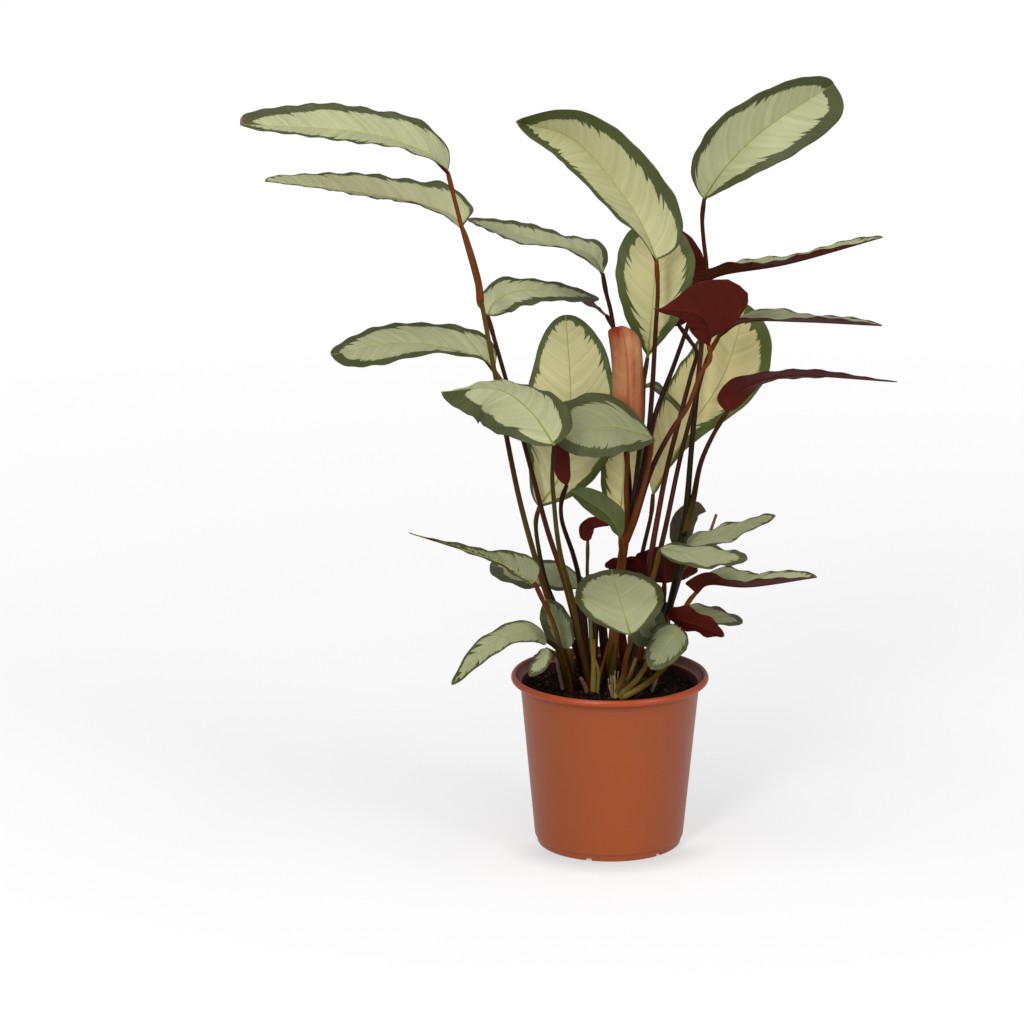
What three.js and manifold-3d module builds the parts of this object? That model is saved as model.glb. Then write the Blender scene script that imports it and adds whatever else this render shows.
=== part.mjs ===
// Potted calathea: a clump of leafy shoots in a round nursery pot. Millimetres, +Z up.
// The origin is the middle of the pot's underside and -Y is the plant's front.
import * as THREE from "three";
import { mergeVertices } from "three/addons/utils/BufferGeometryUtils.js";
import Module from "manifold-3d";

const wasm = await Module();
wasm.setup();

const RIM_DIAMETER = 120;
const RIM_INNER_DIAMETER = 113.5;
const RIM_HEIGHT = 4.6;
const POT_HEIGHT = 106;
const WALL_TOP_DIAMETER = 109;
const BASE_DIAMETER = 90.6;
const WALL = 1.6;
const FOOT_DIAMETER = 88;
const FOOT_HEIGHT = 4.4;
const FLOOR_TOP = 4.8;
const PAD_DIAMETER = 44;
const UNDERSIDE_RECESS = 2.4;
const DRAIN_HOLES = 6;
const DRAIN_HOLE_DIAMETER = 6;
const DRAIN_CIRCLE_DIAMETER = 64;
const DRAIN_SLOTS = 6;
const DRAIN_SLOT_WIDTH = 4;
const DRAIN_SLOT_HEIGHT = 1.6;
const FIRST_SLOT_ANGLE = 47.5;
const POT_SIDES = 40;
const HOLE_SIDES = 12;

const GAP = 0.3;
const SOIL_LEVEL = 96;
const SOIL_BUMP = 0.8;
const STUB_DIAMETER = 11;
const STUB_BOTTOM = 70;
const STUB_TOP = 97.5;

const BLADE_THICKNESS = 0.7;
const BLADE_COLUMNS = 4;
const SMALLEST_HALF_WIDTH = 0.7;
const RIPPLES = 2.5;
const STALK_TOP_RADIUS = 1.2;
const STALK_FOOT_RADIUS = 1.9;
const STALK_SIDES = 5;
const STALK_STEP = 30;
const NECK_GAP = 0.6;

const SILVER = "#aeb789";
const WINE = "#541c20";
const PINK = "#b4553c";
const OLIVE_BROWN = "#5d5340";

// Each leaf: where its midrib runs from neck to tip, its width, the way its upper face looks at
// neck and tip, how far each half folds up (degrees at neck and tip), where it is broadest
// (exponents of the outline, for both halves or for each), how broad each half is, how far each
// half rolls, and the stalk from the neck down.
const leaves = [
  { name: "leaf_a1", width: 50, steps: 10, lobes: [[0.5, 0.62], [0.28, 0.3]], halves: [0.75, 0.9],
    fold: [[45, 6], [0, 4]],
    rib: [[-97, -24, 418], [-113, -30, 432], [-150, -38, 444], [-216, -50, 450]],
    face: [[0.4, -0.55, 0.7], [0, -0.47, 0.88]],
    stalk: [[-89, -25, 386], [-79, -26, 348], [-71, -26, 306], [-55, -16, 219], [-41, -7, 165],
      [-33, -1, 138], [-25, 3, 103], [-25, 2, 92]] },
  { name: "leaf_a2", neckGap: 1.2, width: 46, steps: 10, lobes: [[0.4, 0.5], [0.4, 0.32]],
    halves: [1, 0.84], fold: [[8, 6], [58, 13]],
    rib: [[-89, 4, 380], [-100, 6, 389], [-137, 9, 398], [-206, 14, 406]],
    face: [[0, 0, 1], [0, 0, 1]],
    stalk: [[-84, -10, 369], [-79, -24, 351], [-78, -26, 341]] },
  { name: "leaf_b1", neckGap: 0.9, width: 38, steps: 10, lobes: [[0.6, 0.45], [0.5, 0.5]],
    halves: [0.78, 0.8], fold: [[0, 0], [0, 0]],
    rib: [[-74, 8, 326], [-68, 14, 334], [-49, 24, 338], [-7, 38, 330]],
    face: [[-0.2, -0.7, 0.7], [0, -0.25, 0.97]],
    stalk: [[-68, 6, 305], [-51, 4, 244], [-38, 6, 194], [-29, 7, 166], [-21, 8, 134], [-15, 8,
      99], [-14, 8, 92]] },
  { name: "leaf_b2", width: 47, steps: 10, lobes: [[2.2, 0.5], [0.36, 0.4]], halves: [0.88, 0.86],
    fold: [[30, 0], [10, -8]],
    rib: [[-70, 0, 294], [-82, -6, 305], [-123, -14, 314], [-166, -26, 309]],
    face: [[0.25, -0.5, 0.8], [0, -0.42, 0.9]],
    stalk: [[-67, 1, 288], [-61, 4, 280], [-60, 4, 274]] },
  { name: "leaf_b3", width: 52, steps: 10, lobes: [[0.6, 0.5], [0.9, 0.5]], halves: [1.08, 1.05],
    rib: [[-43, 12, 207], [-30, 16, 226], [-24, 18, 247], [-24, 22, 280], [-27, 38, 320]],
    face: [[0, -1, 0.1], [0, -1, 0.1]],
    stalk: [[-45, 12, 197], [-42, 11, 174], [-38, 10, 158], [-30, 9, 139], [-19, 8, 115], [-14, 8,
      93]] },
  { name: "leaf_c1", neckGap: 0.9, width: 54, steps: 10, lobes: [[0.6, 0.7], [0.6, 1.1]],
    halves: [1, 0.88], fold: [[0, -30], [0, -30]],
    rib: [[-35, -92, 270], [-49, -72, 286], [-69, -50, 294], [-101, -36, 289]],
    face: [[0.3, -0.75, 0.55], [0, -0.42, 0.9]],
    stalk: [[-36, -80, 249], [-35, -70, 232], [-33, -56, 209], [-30, -40, 188], [-24, -20, 161],
      [-18, -12, 130], [-12, -8, 101], [-11, -8, 92]] },
  { name: "leaf_c2", width: 9, steps: 7, thin: 0.8,
    rib: [[-14, -12, 192], [-15, -13, 198], [-12, -15, 204], [0, -18, 204]],
    face: [[0, 0.9, 0.2], [0, 0.9, 0.2]], colour: WINE,
    stalk: [[-14, -10, 183], [-14, -6, 169], [-12, -6, 141], [-11, -8, 104], [-11, -8, 92]] },
  { name: "leaf_c3", neckGap: 1.5, width: 44, steps: 7, lobes: [[0.9, 0.32], [0.6, 0.5]],
    halves: [0.9, 0.92],
    rib: [[-13, 30, 151], [-39, 36, 157], [-73, 36, 164]],
    face: [[0, -0.22, 0.95], [0, -0.22, 0.95]],
    stalk: [[-12, 22, 139], [-11, 8, 124], [-11, -4, 103], [-11, -7, 92]] },
  { name: "leaf_c4", neckGap: 0.9, width: 10, steps: 7, lobes: [0.6, 0.55],
    rib: [[-27, -38, 233], [-30, -36, 245], [-30, -34, 266]],
    face: [[0, 1, 0], [0, 1, 0]], colour: WINE,
    stalk: [[-30, -38, 224], [-30, -36, 212], [-23, -28, 188], [-19, -18, 169], [-16, -12, 136],
      [-12, -8, 101], [-11, -8, 92]] },
  { name: "leaf_d1", width: 42, steps: 10, lobes: [[0.42, 0.7], [0.42, 0.35]], roll: [130, 130],
    rib: [[10, -4, 245], [10, -6, 277], [9, -6, 302], [6, -4, 322]],
    face: [[0, 1, 0.1], [0, 1, 0.1]], colour: PINK,
    stalk: [[9, -8, 222], [10, -11, 203], [8, -12, 192]] },
  { name: "leaf_d2", width: 55, steps: 10, lobes: [[0.8, 0.75], [0.27, 0.48]], halves: [0.93, 0.92],
    fold: [[55, 35], [0, 54]],
    rib: [[26, -6, 362], [12, 2, 391], [-22, 0, 432], [-57, -14, 446]],
    face: [[0.35, -0.9, 0.3], [0.1, -0.98, 0.15]],
    stalk: [[27, -4, 344], [26, -2, 319], [24, 2, 275], [22, 2, 251], [18, -4, 228], [14, -10,
      211], [11, -12, 200]] },
  { name: "leaf_d3", width: 38, steps: 10, lobes: [0.9, 0.6], halves: [1, 0.9],
    fold: [[14, 6], [12, 8]],
    rib: [[-5, 30, 347], [-14, 38, 358], [-42, 58, 361], [-86, 92, 369]],
    face: [[0, 0.02, 1], [0, -0.1, 1]],
    stalk: [[-3, 29, 336], [0, 28, 324], [6, 22, 283], [9, 14, 248], [11, 2, 214], [9, -9, 198]] },
  { name: "leaf_d4", neckGap: 0.95, width: 16, steps: 7, lobes: [0.5, 0.55],
    rib: [[-2, 60, 315], [-6, 70, 317], [-17, 95, 317]],
    face: [[0.4, 0.6, 0.7], [0.4, 0.6, 0.7]], colour: WINE,
    stalk: [[3, 54, 307], [6, 40, 285], [8, 22, 266], [9, 15, 254]] },
  { name: "leaf_d5", width: 47, steps: 10, lobes: [1.1, 0.5],
    rib: [[22, 18, 298], [24, 14, 322], [26, 14, 352], [27, 28, 379]],
    face: [[0, -1, 0.1], [0, -1, 0.1]],
    stalk: [[20, 16, 285], [19, 12, 261], [16, 4, 232], [13, -4, 209], [9, -11, 195]] },
  { name: "leaf_d6", width: 28, steps: 7,
    rib: [[6, 14, 201], [8, 24, 221], [8, 30, 244], [6, 34, 265]],
    face: [[0, -1, 0.1], [0, -1, 0.1]],
    stalk: [[6, 6, 193], [7, -8, 187], [6, -11, 180]] },
  { name: "leaf_d7", width: 19, steps: 7, lobes: [0.7, 0.55], fold: [[30, 14], [30, 14]],
    rib: [[5, -34, 200], [-3, -38, 215], [-25, -44, 231]],
    face: [[0.51, -0.66, 0.55], [0.51, -0.66, 0.55]],
    stalk: [[6, -24, 190], [6, -13, 177], [6, -11, 172]] },
  { name: "leaf_d8", width: 48, steps: 10, lobes: [[3, 2.5], [0.5, 0.9]], halves: [1.28, 0.5],
    fold: [[5, 5], [5, 5]],
    rib: [[57, -14, 313], [57, -20, 324], [48, -26, 334], [24, -26, 337]],
    face: [[0, 0.9, 0.4], [0, 0.9, 0.4]], colour: WINE,
    stalk: [[58, -14, 304], [53, -14, 296], [45, -11, 274], [36, -10, 260], [24, -11, 236], [14,
      -12, 205], [9, -12, 192]] },
  { name: "leaf_d9", neckGap: 0.8, width: 36, steps: 10, lobes: [[0.5, 0.55], [0.5, 1.2]],
    fold: [[22, 32], [6, 6]],
    rib: [[51, 8, 342], [65, 6, 351], [105, 0, 359], [159, -12, 377]],
    face: [[0, 0.34, 0.94], [0, 0.34, 0.94]], colour: WINE,
    stalk: [[48, 8, 328], [38, 8, 297], [27, 6, 267], [23, 2, 251], [16, -8, 213], [9, -11, 197]] },
  { name: "leaf_d10", neckGap: 0.8, width: 50, steps: 10, lobes: [0.6, 0.55],
    fold: [[25, 0], [5, -10]],
    rib: [[24, -22, 258], [-4, -38, 269], [-34, -64, 266]],
    face: [[0, -0.5, 0.85], [0, -0.85, 0.5]],
    stalk: [[22, -20, 241], [17, -17, 219], [12, -14, 202], [8, -13, 190]] },
  { name: "leaf_d11", neckGap: 1.2, width: 14, steps: 7, lobes: [0.6, 0.55],
    rib: [[13, 30, 275], [27, 28, 278], [44, 26, 262]],
    face: [[0, -0.1, 1], [0, -0.1, 1]],
    stalk: [[11, 27, 270], [9, 18, 259], [9, 15, 251]] },
  { name: "leaf_d12", neckGap: 1.2, width: 22, steps: 7,
    rib: [[18, 8, 165], [9, 4, 172], [-3, 0, 175]],
    face: [[0, 0.7, 0.7], [0, 0.7, 0.7]], colour: WINE,
    stalk: [[12, 0, 158], [4, -7, 148]] },
  { name: "leaf_e1", width: 50, steps: 10, lobes: [[0.6, 0.5], [0.75, 0.3]], halves: [0.97, 1],
    fold: [[10, 50], [60, 0]],
    rib: [[55, 20, 394], [68, 18, 414], [92, 20, 437], [132, 34, 461]],
    face: [[-0.15, -0.95, 0.25], [-0.15, -0.95, 0.25]],
    stalk: [[54, 21, 382], [55, 22, 369], [57, 22, 351], [56, 20, 327], [52, 8, 286], [48, -2,
      246], [46, -1, 215], [44, 0, 192]] },
  { name: "leaf_e2", width: 28, steps: 10, lobes: [0.6, 0.55], fold: [[6, 6], [6, 6]],
    rib: [[69, -10, 271], [76, -14, 285], [105, -24, 296], [167, -40, 296]],
    face: [[-0.1, 0.6, 0.8], [0, 0.3, 0.95]], colour: WINE,
    stalk: [[64, -9, 263], [54, -6, 240], [49, -2, 213], [44, 0, 194]] },
  { name: "leaf_e3", neckGap: 1.3, width: 30, steps: 7, halves: [0.85, 1],
    rib: [[46, 10, 185], [69, 6, 192], [99, -2, 205]],
    face: [[0, -0.2, 0.97], [0, -0.2, 0.97]],
    stalk: [[45, 7, 178], [40, 1, 164]] },
  { name: "leaf_e4", width: 23, steps: 7, lobes: [0.6, 0.8], halves: [0.45, 0.85],
    rib: [[45, 36, 172], [46, 34, 186], [51, 35, 197], [59, 37, 198]],
    face: [[0, 1, 0.1], [0, 1, 0.1]], colour: OLIVE_BROWN,
    stalk: [[45, 40, 161], [41, 36, 148], [36, 22, 138], [32, 7, 128]] },
  { name: "leaf_e5", neckGap: 1.1, width: 42, steps: 7,
    rib: [[34, 36, 153], [33, 26, 166], [32, 14, 182]],
    face: [[0, 0.7, 0.6], [0, 0.7, 0.6]], colour: WINE,
    stalk: [[33, 22, 146], [32, 9, 137], [32, 6, 130]] },
  { name: "leaf_f1", width: 34, steps: 10, lobes: [0.5, 0.55], fold: [[12, 24], [6, 6]],
    rib: [[65, 20, 311], [80, 14, 321], [112, 4, 323], [160, -8, 323]],
    face: [[0, -0.05, 1], [0, 0.35, 0.96]], colour: WINE,
    stalk: [[58, 20, 297], [51, 15, 273], [42, 6, 240], [32, -4, 194], [21, -8, 148], [16, -11,
      112], [16, -12, 92]] },
  { name: "leaf_f2", neckGap: 0.95, width: 50, steps: 10, lobes: [0.6, 0.55],
    rib: [[42, 48, 311], [35, 48, 339], [30, 56, 372]],
    face: [[0, 1, 0], [0, 1, 0]], colour: WINE,
    stalk: [[48, 40, 304], [52, 32, 298], [48, 24, 284], [34, 8, 232], [28, 0, 202], [24, -5, 178],
      [22, -8, 152]] },
  { name: "leaf_f3", neckGap: 0.8, width: 42, steps: 7, lobes: [0.5, 0.55], halves: [0.82, 1],
    rib: [[29, -30, 192], [55, -36, 189], [80, -44, 189]],
    face: [[0, -0.1, 1], [0, -0.1, 1]],
    stalk: [[27, -28, 183], [23, -22, 164], [20, -15, 138], [17, -11, 116]] },
  { name: "leaf_f4", width: 35, steps: 10, fold: [[30, 36], [24, 8]],
    rib: [[51, -20, 162], [59, -22, 168], [83, -28, 168], [122, -36, 176]],
    face: [[0, 0.25, 0.95], [0, 0.25, 0.95]], colour: WINE,
    stalk: [[47, -20, 157], [43, -18, 149], [37, -14, 136], [27, -12, 118], [18, -12, 101], [16,
      -12, 92]] },
  { name: "leaf_f5", neckGap: 1.9, width: 25, steps: 7,
    rib: [[46, -6, 149], [61, -12, 145], [79, -20, 143]],
    face: [[0, -0.15, 1], [0, -0.15, 1]],
    stalk: [[43, -10, 143], [37, -12, 133], [30, -13, 122]] },
  { name: "leaf_f6", neckGap: 2.6, width: 27, steps: 7, fold: [[8, 8], [8, 8]],
    rib: [[34, -32, 151], [48, -38, 148], [67, -46, 143]],
    face: [[0, 0.75, 0.65], [0, 0.75, 0.65]], colour: WINE,
    stalk: [[32, -26, 142], [27, -18, 126], [21, -12, 108]] },
  { name: "leaf_g1", width: 52, steps: 10, lobes: [[0.8, 0.62], [2.2, 0.7]], halves: [1.03, 0.94],
    rib: [[27, 48, 206], [48, 46, 246], [69, 44, 281], [83, 56, 323]],
    face: [[0, -1, 0.1], [0, -1, 0.1]],
    stalk: [[26, 47, 194], [20, 44, 166], [17, 34, 142], [14, 24, 120], [12, 16, 101], [12, 16,
      92]] },
  { name: "leaf_h1", neckGap: 1.2, width: 53, steps: 10, lobes: [0.75, 0.55],
    rib: [[10, -80, 153], [5, -56, 166], [0, -22, 177]],
    face: [[0.05, -0.6, 0.7], [0.05, -0.6, 0.7]],
    stalk: [[10, -68, 143], [8, -50, 128], [7, -34, 112], [4, -25, 101], [4, -24, 92]] },
  { name: "leaf_h2", width: 22, steps: 7,
    rib: [[24, -42, 135], [22, -41, 146], [25, -32, 158]],
    face: [[0, -0.9, 0.4], [0, -0.9, 0.4]],
    stalk: [[22, -38, 125], [15, -30, 110], [6, -25, 100], [4, -24, 92]] },
  { name: "leaf_h3", neckGap: 1.4, width: 23, steps: 7,
    rib: [[41, -44, 146], [33, -52, 140], [23, -60, 126]],
    face: [[0, -0.8, 0.5], [0, -0.8, 0.5]],
    stalk: [[44, -40, 140], [41, -36, 131], [32, -32, 119], [21, -28, 107], [7, -25, 98]] },
  { name: "leaf_i1", neckGap: 0.8, width: 38, steps: 10, lobes: [[0.6, 1.8], [0.3, 1.15]],
    halves: [0.14, 0.64],
    rib: [[-46, -30, 171], [-59, -33, 180], [-77, -40, 190], [-120, -50, 207]],
    face: [[0.1, -1, 0.3], [0, -0.15, 1]],
    stalk: [[-41, -30, 160], [-35, -28, 146], [-30, -24, 127], [-25, -15, 104], [-24, -13, 92]] },
  { name: "leaf_i2", width: 27, steps: 10, lobes: [[0.42, 0.55], [0.3, 0.5]], halves: [0.7, 0.66],
    rib: [[-39, -40, 138], [-50, -48, 146], [-72, -60, 142], [-95, -72, 120]],
    face: [[0.3, -0.5, 0.8], [0, -0.3, 0.95]],
    stalk: [[-34, -34, 133], [-29, -26, 123], [-26, -15, 104], [-24, -13, 92]] },
  { name: "leaf_i3", width: 19, steps: 7,
    rib: [[-26, -16, 126], [-33, -14, 142], [-38, -10, 155]],
    face: [[0.2, -0.9, 0.3], [0.2, -0.9, 0.3]],
    stalk: [[-23, -15, 115], [-24, -13, 100], [-24, -13, 92]] },
  { name: "leaf_i4", neckGap: 0.9, width: 11, steps: 7, thin: 0.8,
    rib: [[-39, -44, 134], [-42, -50, 128], [-49, -54, 120]],
    face: [[-0.3, -0.9, 0.3], [-0.3, -0.9, 0.3]],
    stalk: [[-33, -36, 128], [-29, -26, 118], [-26, -16, 103], [-24, -13, 92]] },
];

// Each shoot: where it stands in the soil, and its sheaths, twigs and dry ends.
const shoots = [
  { name: "shoot_a", foot: [-25, 2], twigs: [] },
  { name: "shoot_b", foot: [-14, 8], twigs: [
    { radii: [1.6, 2.9],
      path: [[-21, 12, 146], [-18, 11, 124], [-15, 9, 102], [-14, 9, 92]] },
    { radii: [1.3, 2.6],
      path: [[-16, 16, 140], [-15, 14, 122], [-14, 10, 101], [-14, 8, 92]] }] },
  { name: "shoot_c", foot: [-11, -8], twigs: [
    { radii: [1.3, 2], path: [[-10, -13, 131], [-10, -12, 115], [-10, -10, 97], [-10, -9, 92]] },
    { radii: [0.8, 1.3], path: [[-10, -13, 120], [-7, -12, 110], [-8, -9, 94]] },
    { radii: [0.9, 1.6], path: [[-18, -13, 107], [-15, -11, 101], [-13, -9, 93]] },
    { radii: [0.8, 1.3],
      path: [[-1, -14, 130], [-4, -13, 117], [-8, -10, 101], [-10, -9, 93]] },
    { radii: [1.3, 2.4],
      path: [[-9, -3, 140], [-10, -5, 120], [-11, -7, 101], [-11, -8, 92]] }] },
  { name: "shoot_d", foot: [2, 0], twigs: [
    { radii: [2.4, 3.6], path: [[10, -10, 206], [8, -12, 189], [6, -11, 174], [4, -8, 154],
      [2, -4, 128], [1, 0, 101], [2, 0, 92]] },
    { radii: [1.5, 3],
      path: [[-5, 6, 142], [-3, 5, 120], [1, 1, 101], [2, 0, 92]] }] },
  { name: "shoot_e", foot: [28, 10], twigs: [
    { radii: [2, 2.5], path: [[44, 1, 202], [42, 0, 186], [40, 0, 168], [37, 2, 151],
      [34, 4, 135], [31, 7, 115], [29, 10, 99], [28, 10, 92]] },
    { radii: [0.9, 1.4], path: [[65, 29, 198], [60, 27, 184], [54, 14, 177], [42, 1, 170]] },
    { radii: [1.5, 2.6],
      path: [[40, 8, 132], [35, 9, 116], [30, 10, 101], [28, 10, 92]] },
    { radii: [1.2, 2.4],
      path: [[33, 16, 146], [31, 15, 122], [29, 11, 101], [28, 10, 92]] }] },
  { name: "shoot_f", foot: [16, -12], twigs: [
    { radii: [0.8, 1.1], path: [[42, -27, 128], [41, -24, 134], [36, -14, 134]] }] },
  { name: "shoot_g", foot: [12, 16], twigs: [
    { radii: [1.6, 2.8],
      path: [[5, 18, 142], [8, 18, 120], [11, 16, 101], [12, 16, 92]] },
    { radii: [1.5, 2.7],
      path: [[21, 20, 138], [17, 19, 118], [13, 17, 101], [12, 16, 92]] }] },
  { name: "shoot_h", foot: [4, -24], twigs: [
    { radii: [0.6, 1.6], path: [[2, -27, 112], [3, -26, 103], [3, -25, 92]] },
    { radii: [0.6, 1.5], path: [[7, -27, 109], [6, -26, 102], [5, -25, 92]] },
    { radii: [0.6, 1.5], path: [[-1, -26, 106], [1, -25, 100], [3, -24, 92]] },
    { radii: [0.6, 1.5], path: [[8, -22, 107], [6, -23, 101], [5, -24, 92]] },
    { radii: [0.6, 1.4], path: [[3, -21, 108], [4, -22, 101], [4, -23, 92]] },
    { radii: [1, 1.7],
      path: [[15, -29, 124], [12, -28, 114], [7, -26, 102], [5, -25, 93]] }] },
  { name: "shoot_i", foot: [-24, -13], twigs: [] },
];

const cutStalks = [
  { name: "cut_stalk_left", foot: [-28.5, -5], top: [-33, -9, 121], radius: 1.1 },
  { name: "cut_stalk_right", foot: [25.5, -6], top: [29, -8, 108], radius: 1.1 },
];
const CUT_STALK_BOTTOM = 84;

function vector(list) {
  return new THREE.Vector3(...list);
}

function toSolid(geometry) {
  const bare = new THREE.BufferGeometry();
  bare.setAttribute("position", geometry.getAttribute("position").clone());
  bare.setIndex(geometry.index.clone());
  const merged = mergeVertices(bare, 1e-3);
  const corners = [];
  for (let i = 0; i < merged.index.count; i += 3) {
    const [a, b, c] = [0, 1, 2].map((k) => merged.index.getX(i + k));
    if (a !== b && b !== c && c !== a) {
      corners.push(a, b, c);
    }
  }
  const vertProperties = new Float32Array(merged.getAttribute("position").array);
  const build = (list) => new wasm.Manifold(new wasm.Mesh({
    numProp: 3,
    vertProperties,
    triVerts: new Uint32Array(list),
  }));
  const solid = build(corners);
  return solid.volume() > 0 ? solid : build(corners.reverse());
}

function toGeometry(solid) {
  const mesh = solid.getMesh();
  const geometry = new THREE.BufferGeometry();
  geometry.setAttribute("position", new THREE.BufferAttribute(mesh.vertProperties, 3));
  geometry.setIndex(new THREE.BufferAttribute(mesh.triVerts, 1));
  geometry.computeVertexNormals();
  return geometry;
}

function standing(geometry, x, y, z) {
  geometry.rotateX(Math.PI / 2);
  geometry.translate(x, y, z);
  return geometry;
}

function wallRadius(z) {
  const share = (z - FOOT_HEIGHT) / (POT_HEIGHT - RIM_HEIGHT - FOOT_HEIGHT);
  return THREE.MathUtils.lerp(BASE_DIAMETER, WALL_TOP_DIAMETER, share) / 2;
}

function potSolid() {
  const foot = FOOT_DIAMETER / 2;
  const rim = RIM_DIAMETER / 2;
  const mouth = RIM_INNER_DIAMETER / 2;
  const shoulder = POT_HEIGHT - RIM_HEIGHT;
  const pad = PAD_DIAMETER / 2;
  const profile = [
    [0, 0],
    [pad, 0],
    [pad + 1, UNDERSIDE_RECESS],
    [foot - 3, UNDERSIDE_RECESS],
    [foot - 2.4, 0],
    [foot - 0.6, 0],
    [foot, 0.6],
    [foot + 0.2, FOOT_HEIGHT - 0.8],
    [BASE_DIAMETER / 2 - 0.2, FOOT_HEIGHT - 0.2],
    [wallRadius(FOOT_HEIGHT + 0.6), FOOT_HEIGHT + 0.6],
    [wallRadius(shoulder), shoulder],
    [rim - 1.8, shoulder + 0.1],
    [rim - 0.5, shoulder + 1.2],
    [rim, shoulder + 2.2],
    [rim - 0.2, POT_HEIGHT - 1.6],
    [rim - 1.1, POT_HEIGHT - 0.3],
    [rim - 2, POT_HEIGHT],
    [mouth + 0.4, POT_HEIGHT - 0.5],
    [mouth, POT_HEIGHT - 1.6],
    [mouth - 0.6, shoulder + 2],
    [wallRadius(shoulder) - WALL, shoulder - 1.5],
    [wallRadius(FLOOR_TOP + 2) - WALL, FLOOR_TOP + 2],
    [wallRadius(FLOOR_TOP + 2) - WALL - 2, FLOOR_TOP],
    [0, FLOOR_TOP],
  ];
  const points = profile.map(([r, z]) => new THREE.Vector2(r, z));
  let solid = toSolid(standing(new THREE.LatheGeometry(points, POT_SIDES), 0, 0, 0));
  for (let i = 0; i < DRAIN_HOLES; i += 1) {
    const turn = (i / DRAIN_HOLES) * 2 * Math.PI;
    const reach = DRAIN_CIRCLE_DIAMETER / 2;
    const drill = new THREE.CylinderGeometry(
      DRAIN_HOLE_DIAMETER / 2, DRAIN_HOLE_DIAMETER / 2, 2 * FLOOR_TOP, HOLE_SIDES);
    solid = solid.subtract(
      toSolid(standing(drill, reach * Math.cos(turn), reach * Math.sin(turn), FLOOR_TOP)));
  }
  for (let i = 0; i < DRAIN_SLOTS; i += 1) {
    const turn = THREE.MathUtils.degToRad(-FIRST_SLOT_ANGLE + (i * 360) / DRAIN_SLOTS);
    const slot = new THREE.BoxGeometry(8, DRAIN_SLOT_WIDTH, 2 * DRAIN_SLOT_HEIGHT);
    slot.translate(FOOT_DIAMETER / 2 - 1.2, 0, 0);
    slot.rotateZ(turn);
    solid = solid.subtract(toSolid(slot));
  }
  return solid;
}

function soilHeight(x, y) {
  const fine = Math.sin(0.41 * x + 1.3) * Math.sin(0.37 * y + 0.4);
  const broad = Math.sin(0.13 * x - 0.17 * y + 2.1);
  return SOIL_LEVEL + SOIL_BUMP * (0.5 * fine + 0.5 * broad);
}

function soilSolid() {
  const bottom = FLOOR_TOP + GAP;
  const side = (z) => wallRadius(z) - WALL - GAP;
  const edge = side(SOIL_LEVEL - 2) - 0.2;
  const profile = [[0, bottom], [side(bottom + 2) - 2.2, bottom], [side(bottom + 2), bottom + 2]];
  profile.push([edge, SOIL_LEVEL - 2]);
  for (const share of [0.93, 0.7, 0.45, 0.2, 0]) {
    profile.push([edge * share, SOIL_LEVEL]);
  }
  const points = profile.map(([r, z]) => new THREE.Vector2(r, z));
  const geometry = standing(new THREE.LatheGeometry(points, POT_SIDES), 0, 0, 0);
  const place = geometry.getAttribute("position");
  for (let i = 0; i < place.count; i += 1) {
    if (place.getZ(i) > SOIL_LEVEL - 1) {
      place.setZ(i, soilHeight(place.getX(i), place.getY(i)));
    }
  }
  let solid = toSolid(geometry);
  const holes = shoots.map(({ foot }) => [foot, STUB_DIAMETER / 2, STUB_BOTTOM]);
  for (const { foot, radius } of cutStalks) {
    holes.push([foot, radius + 0.7, CUT_STALK_BOTTOM]);
  }
  for (const [[x, y], radius, depth] of holes) {
    const height = POT_HEIGHT - depth + GAP;
    const drill = new THREE.CylinderGeometry(radius + GAP, radius + GAP, height, HOLE_SIDES);
    solid = solid.subtract(toSolid(standing(drill, x, y, depth - GAP + height / 2)));
  }
  return solid;
}

function tube(path, topRadius, footRadius) {
  const curve = new THREE.CatmullRomCurve3(path.map(vector));
  const steps = Math.max(3, Math.round(curve.getLength() / STALK_STEP));
  const frames = curve.computeFrenetFrames(steps);
  const places = [];
  const faces = [];
  for (let i = 0; i <= steps; i += 1) {
    const middle = curve.getPointAt(i / steps);
    const radius = THREE.MathUtils.lerp(topRadius, footRadius, i / steps);
    for (let j = 0; j < STALK_SIDES; j += 1) {
      const turn = (j / STALK_SIDES) * 2 * Math.PI;
      const point = middle.clone();
      point.addScaledVector(frames.normals[i], radius * Math.cos(turn));
      point.addScaledVector(frames.binormals[i], radius * Math.sin(turn));
      places.push(...point.toArray());
    }
  }
  for (let i = 0; i < steps; i += 1) {
    for (let j = 0; j < STALK_SIDES; j += 1) {
      const a = i * STALK_SIDES + j;
      const b = i * STALK_SIDES + ((j + 1) % STALK_SIDES);
      faces.push(a, b, b + STALK_SIDES, a, b + STALK_SIDES, a + STALK_SIDES);
    }
  }
  const last = steps * STALK_SIDES;
  for (let j = 1; j < STALK_SIDES - 1; j += 1) {
    faces.push(0, j + 1, j, last, last + j, last + j + 1);
  }
  const geometry = new THREE.BufferGeometry();
  geometry.setAttribute("position", new THREE.Float32BufferAttribute(places, 3));
  geometry.setIndex(faces);
  return geometry;
}

function spline(points, share) {
  const list = points.map(vector);
  const count = list.length;
  list.unshift(list[0].clone().multiplyScalar(2).sub(list[1]));
  list.push(list[count].clone().multiplyScalar(2).sub(list[count - 1]));
  const scaled = Math.min(share, 1 - 1e-9) * (count - 1);
  const i = Math.floor(scaled);
  const u = scaled - i;
  const [a, b, c, d] = list.slice(i, i + 4);
  const blend = (p, q, r, s) => 0.5 * (2 * q + (r - p) * u + (2 * p - 5 * q + 4 * r - s) * u * u
    + (3 * q - p - 3 * r + s) * u ** 3);
  return new THREE.Vector3(
    blend(a.x, b.x, c.x, d.x), blend(a.y, b.y, c.y, d.y), blend(a.z, b.z, c.z, d.z));
}

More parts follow.
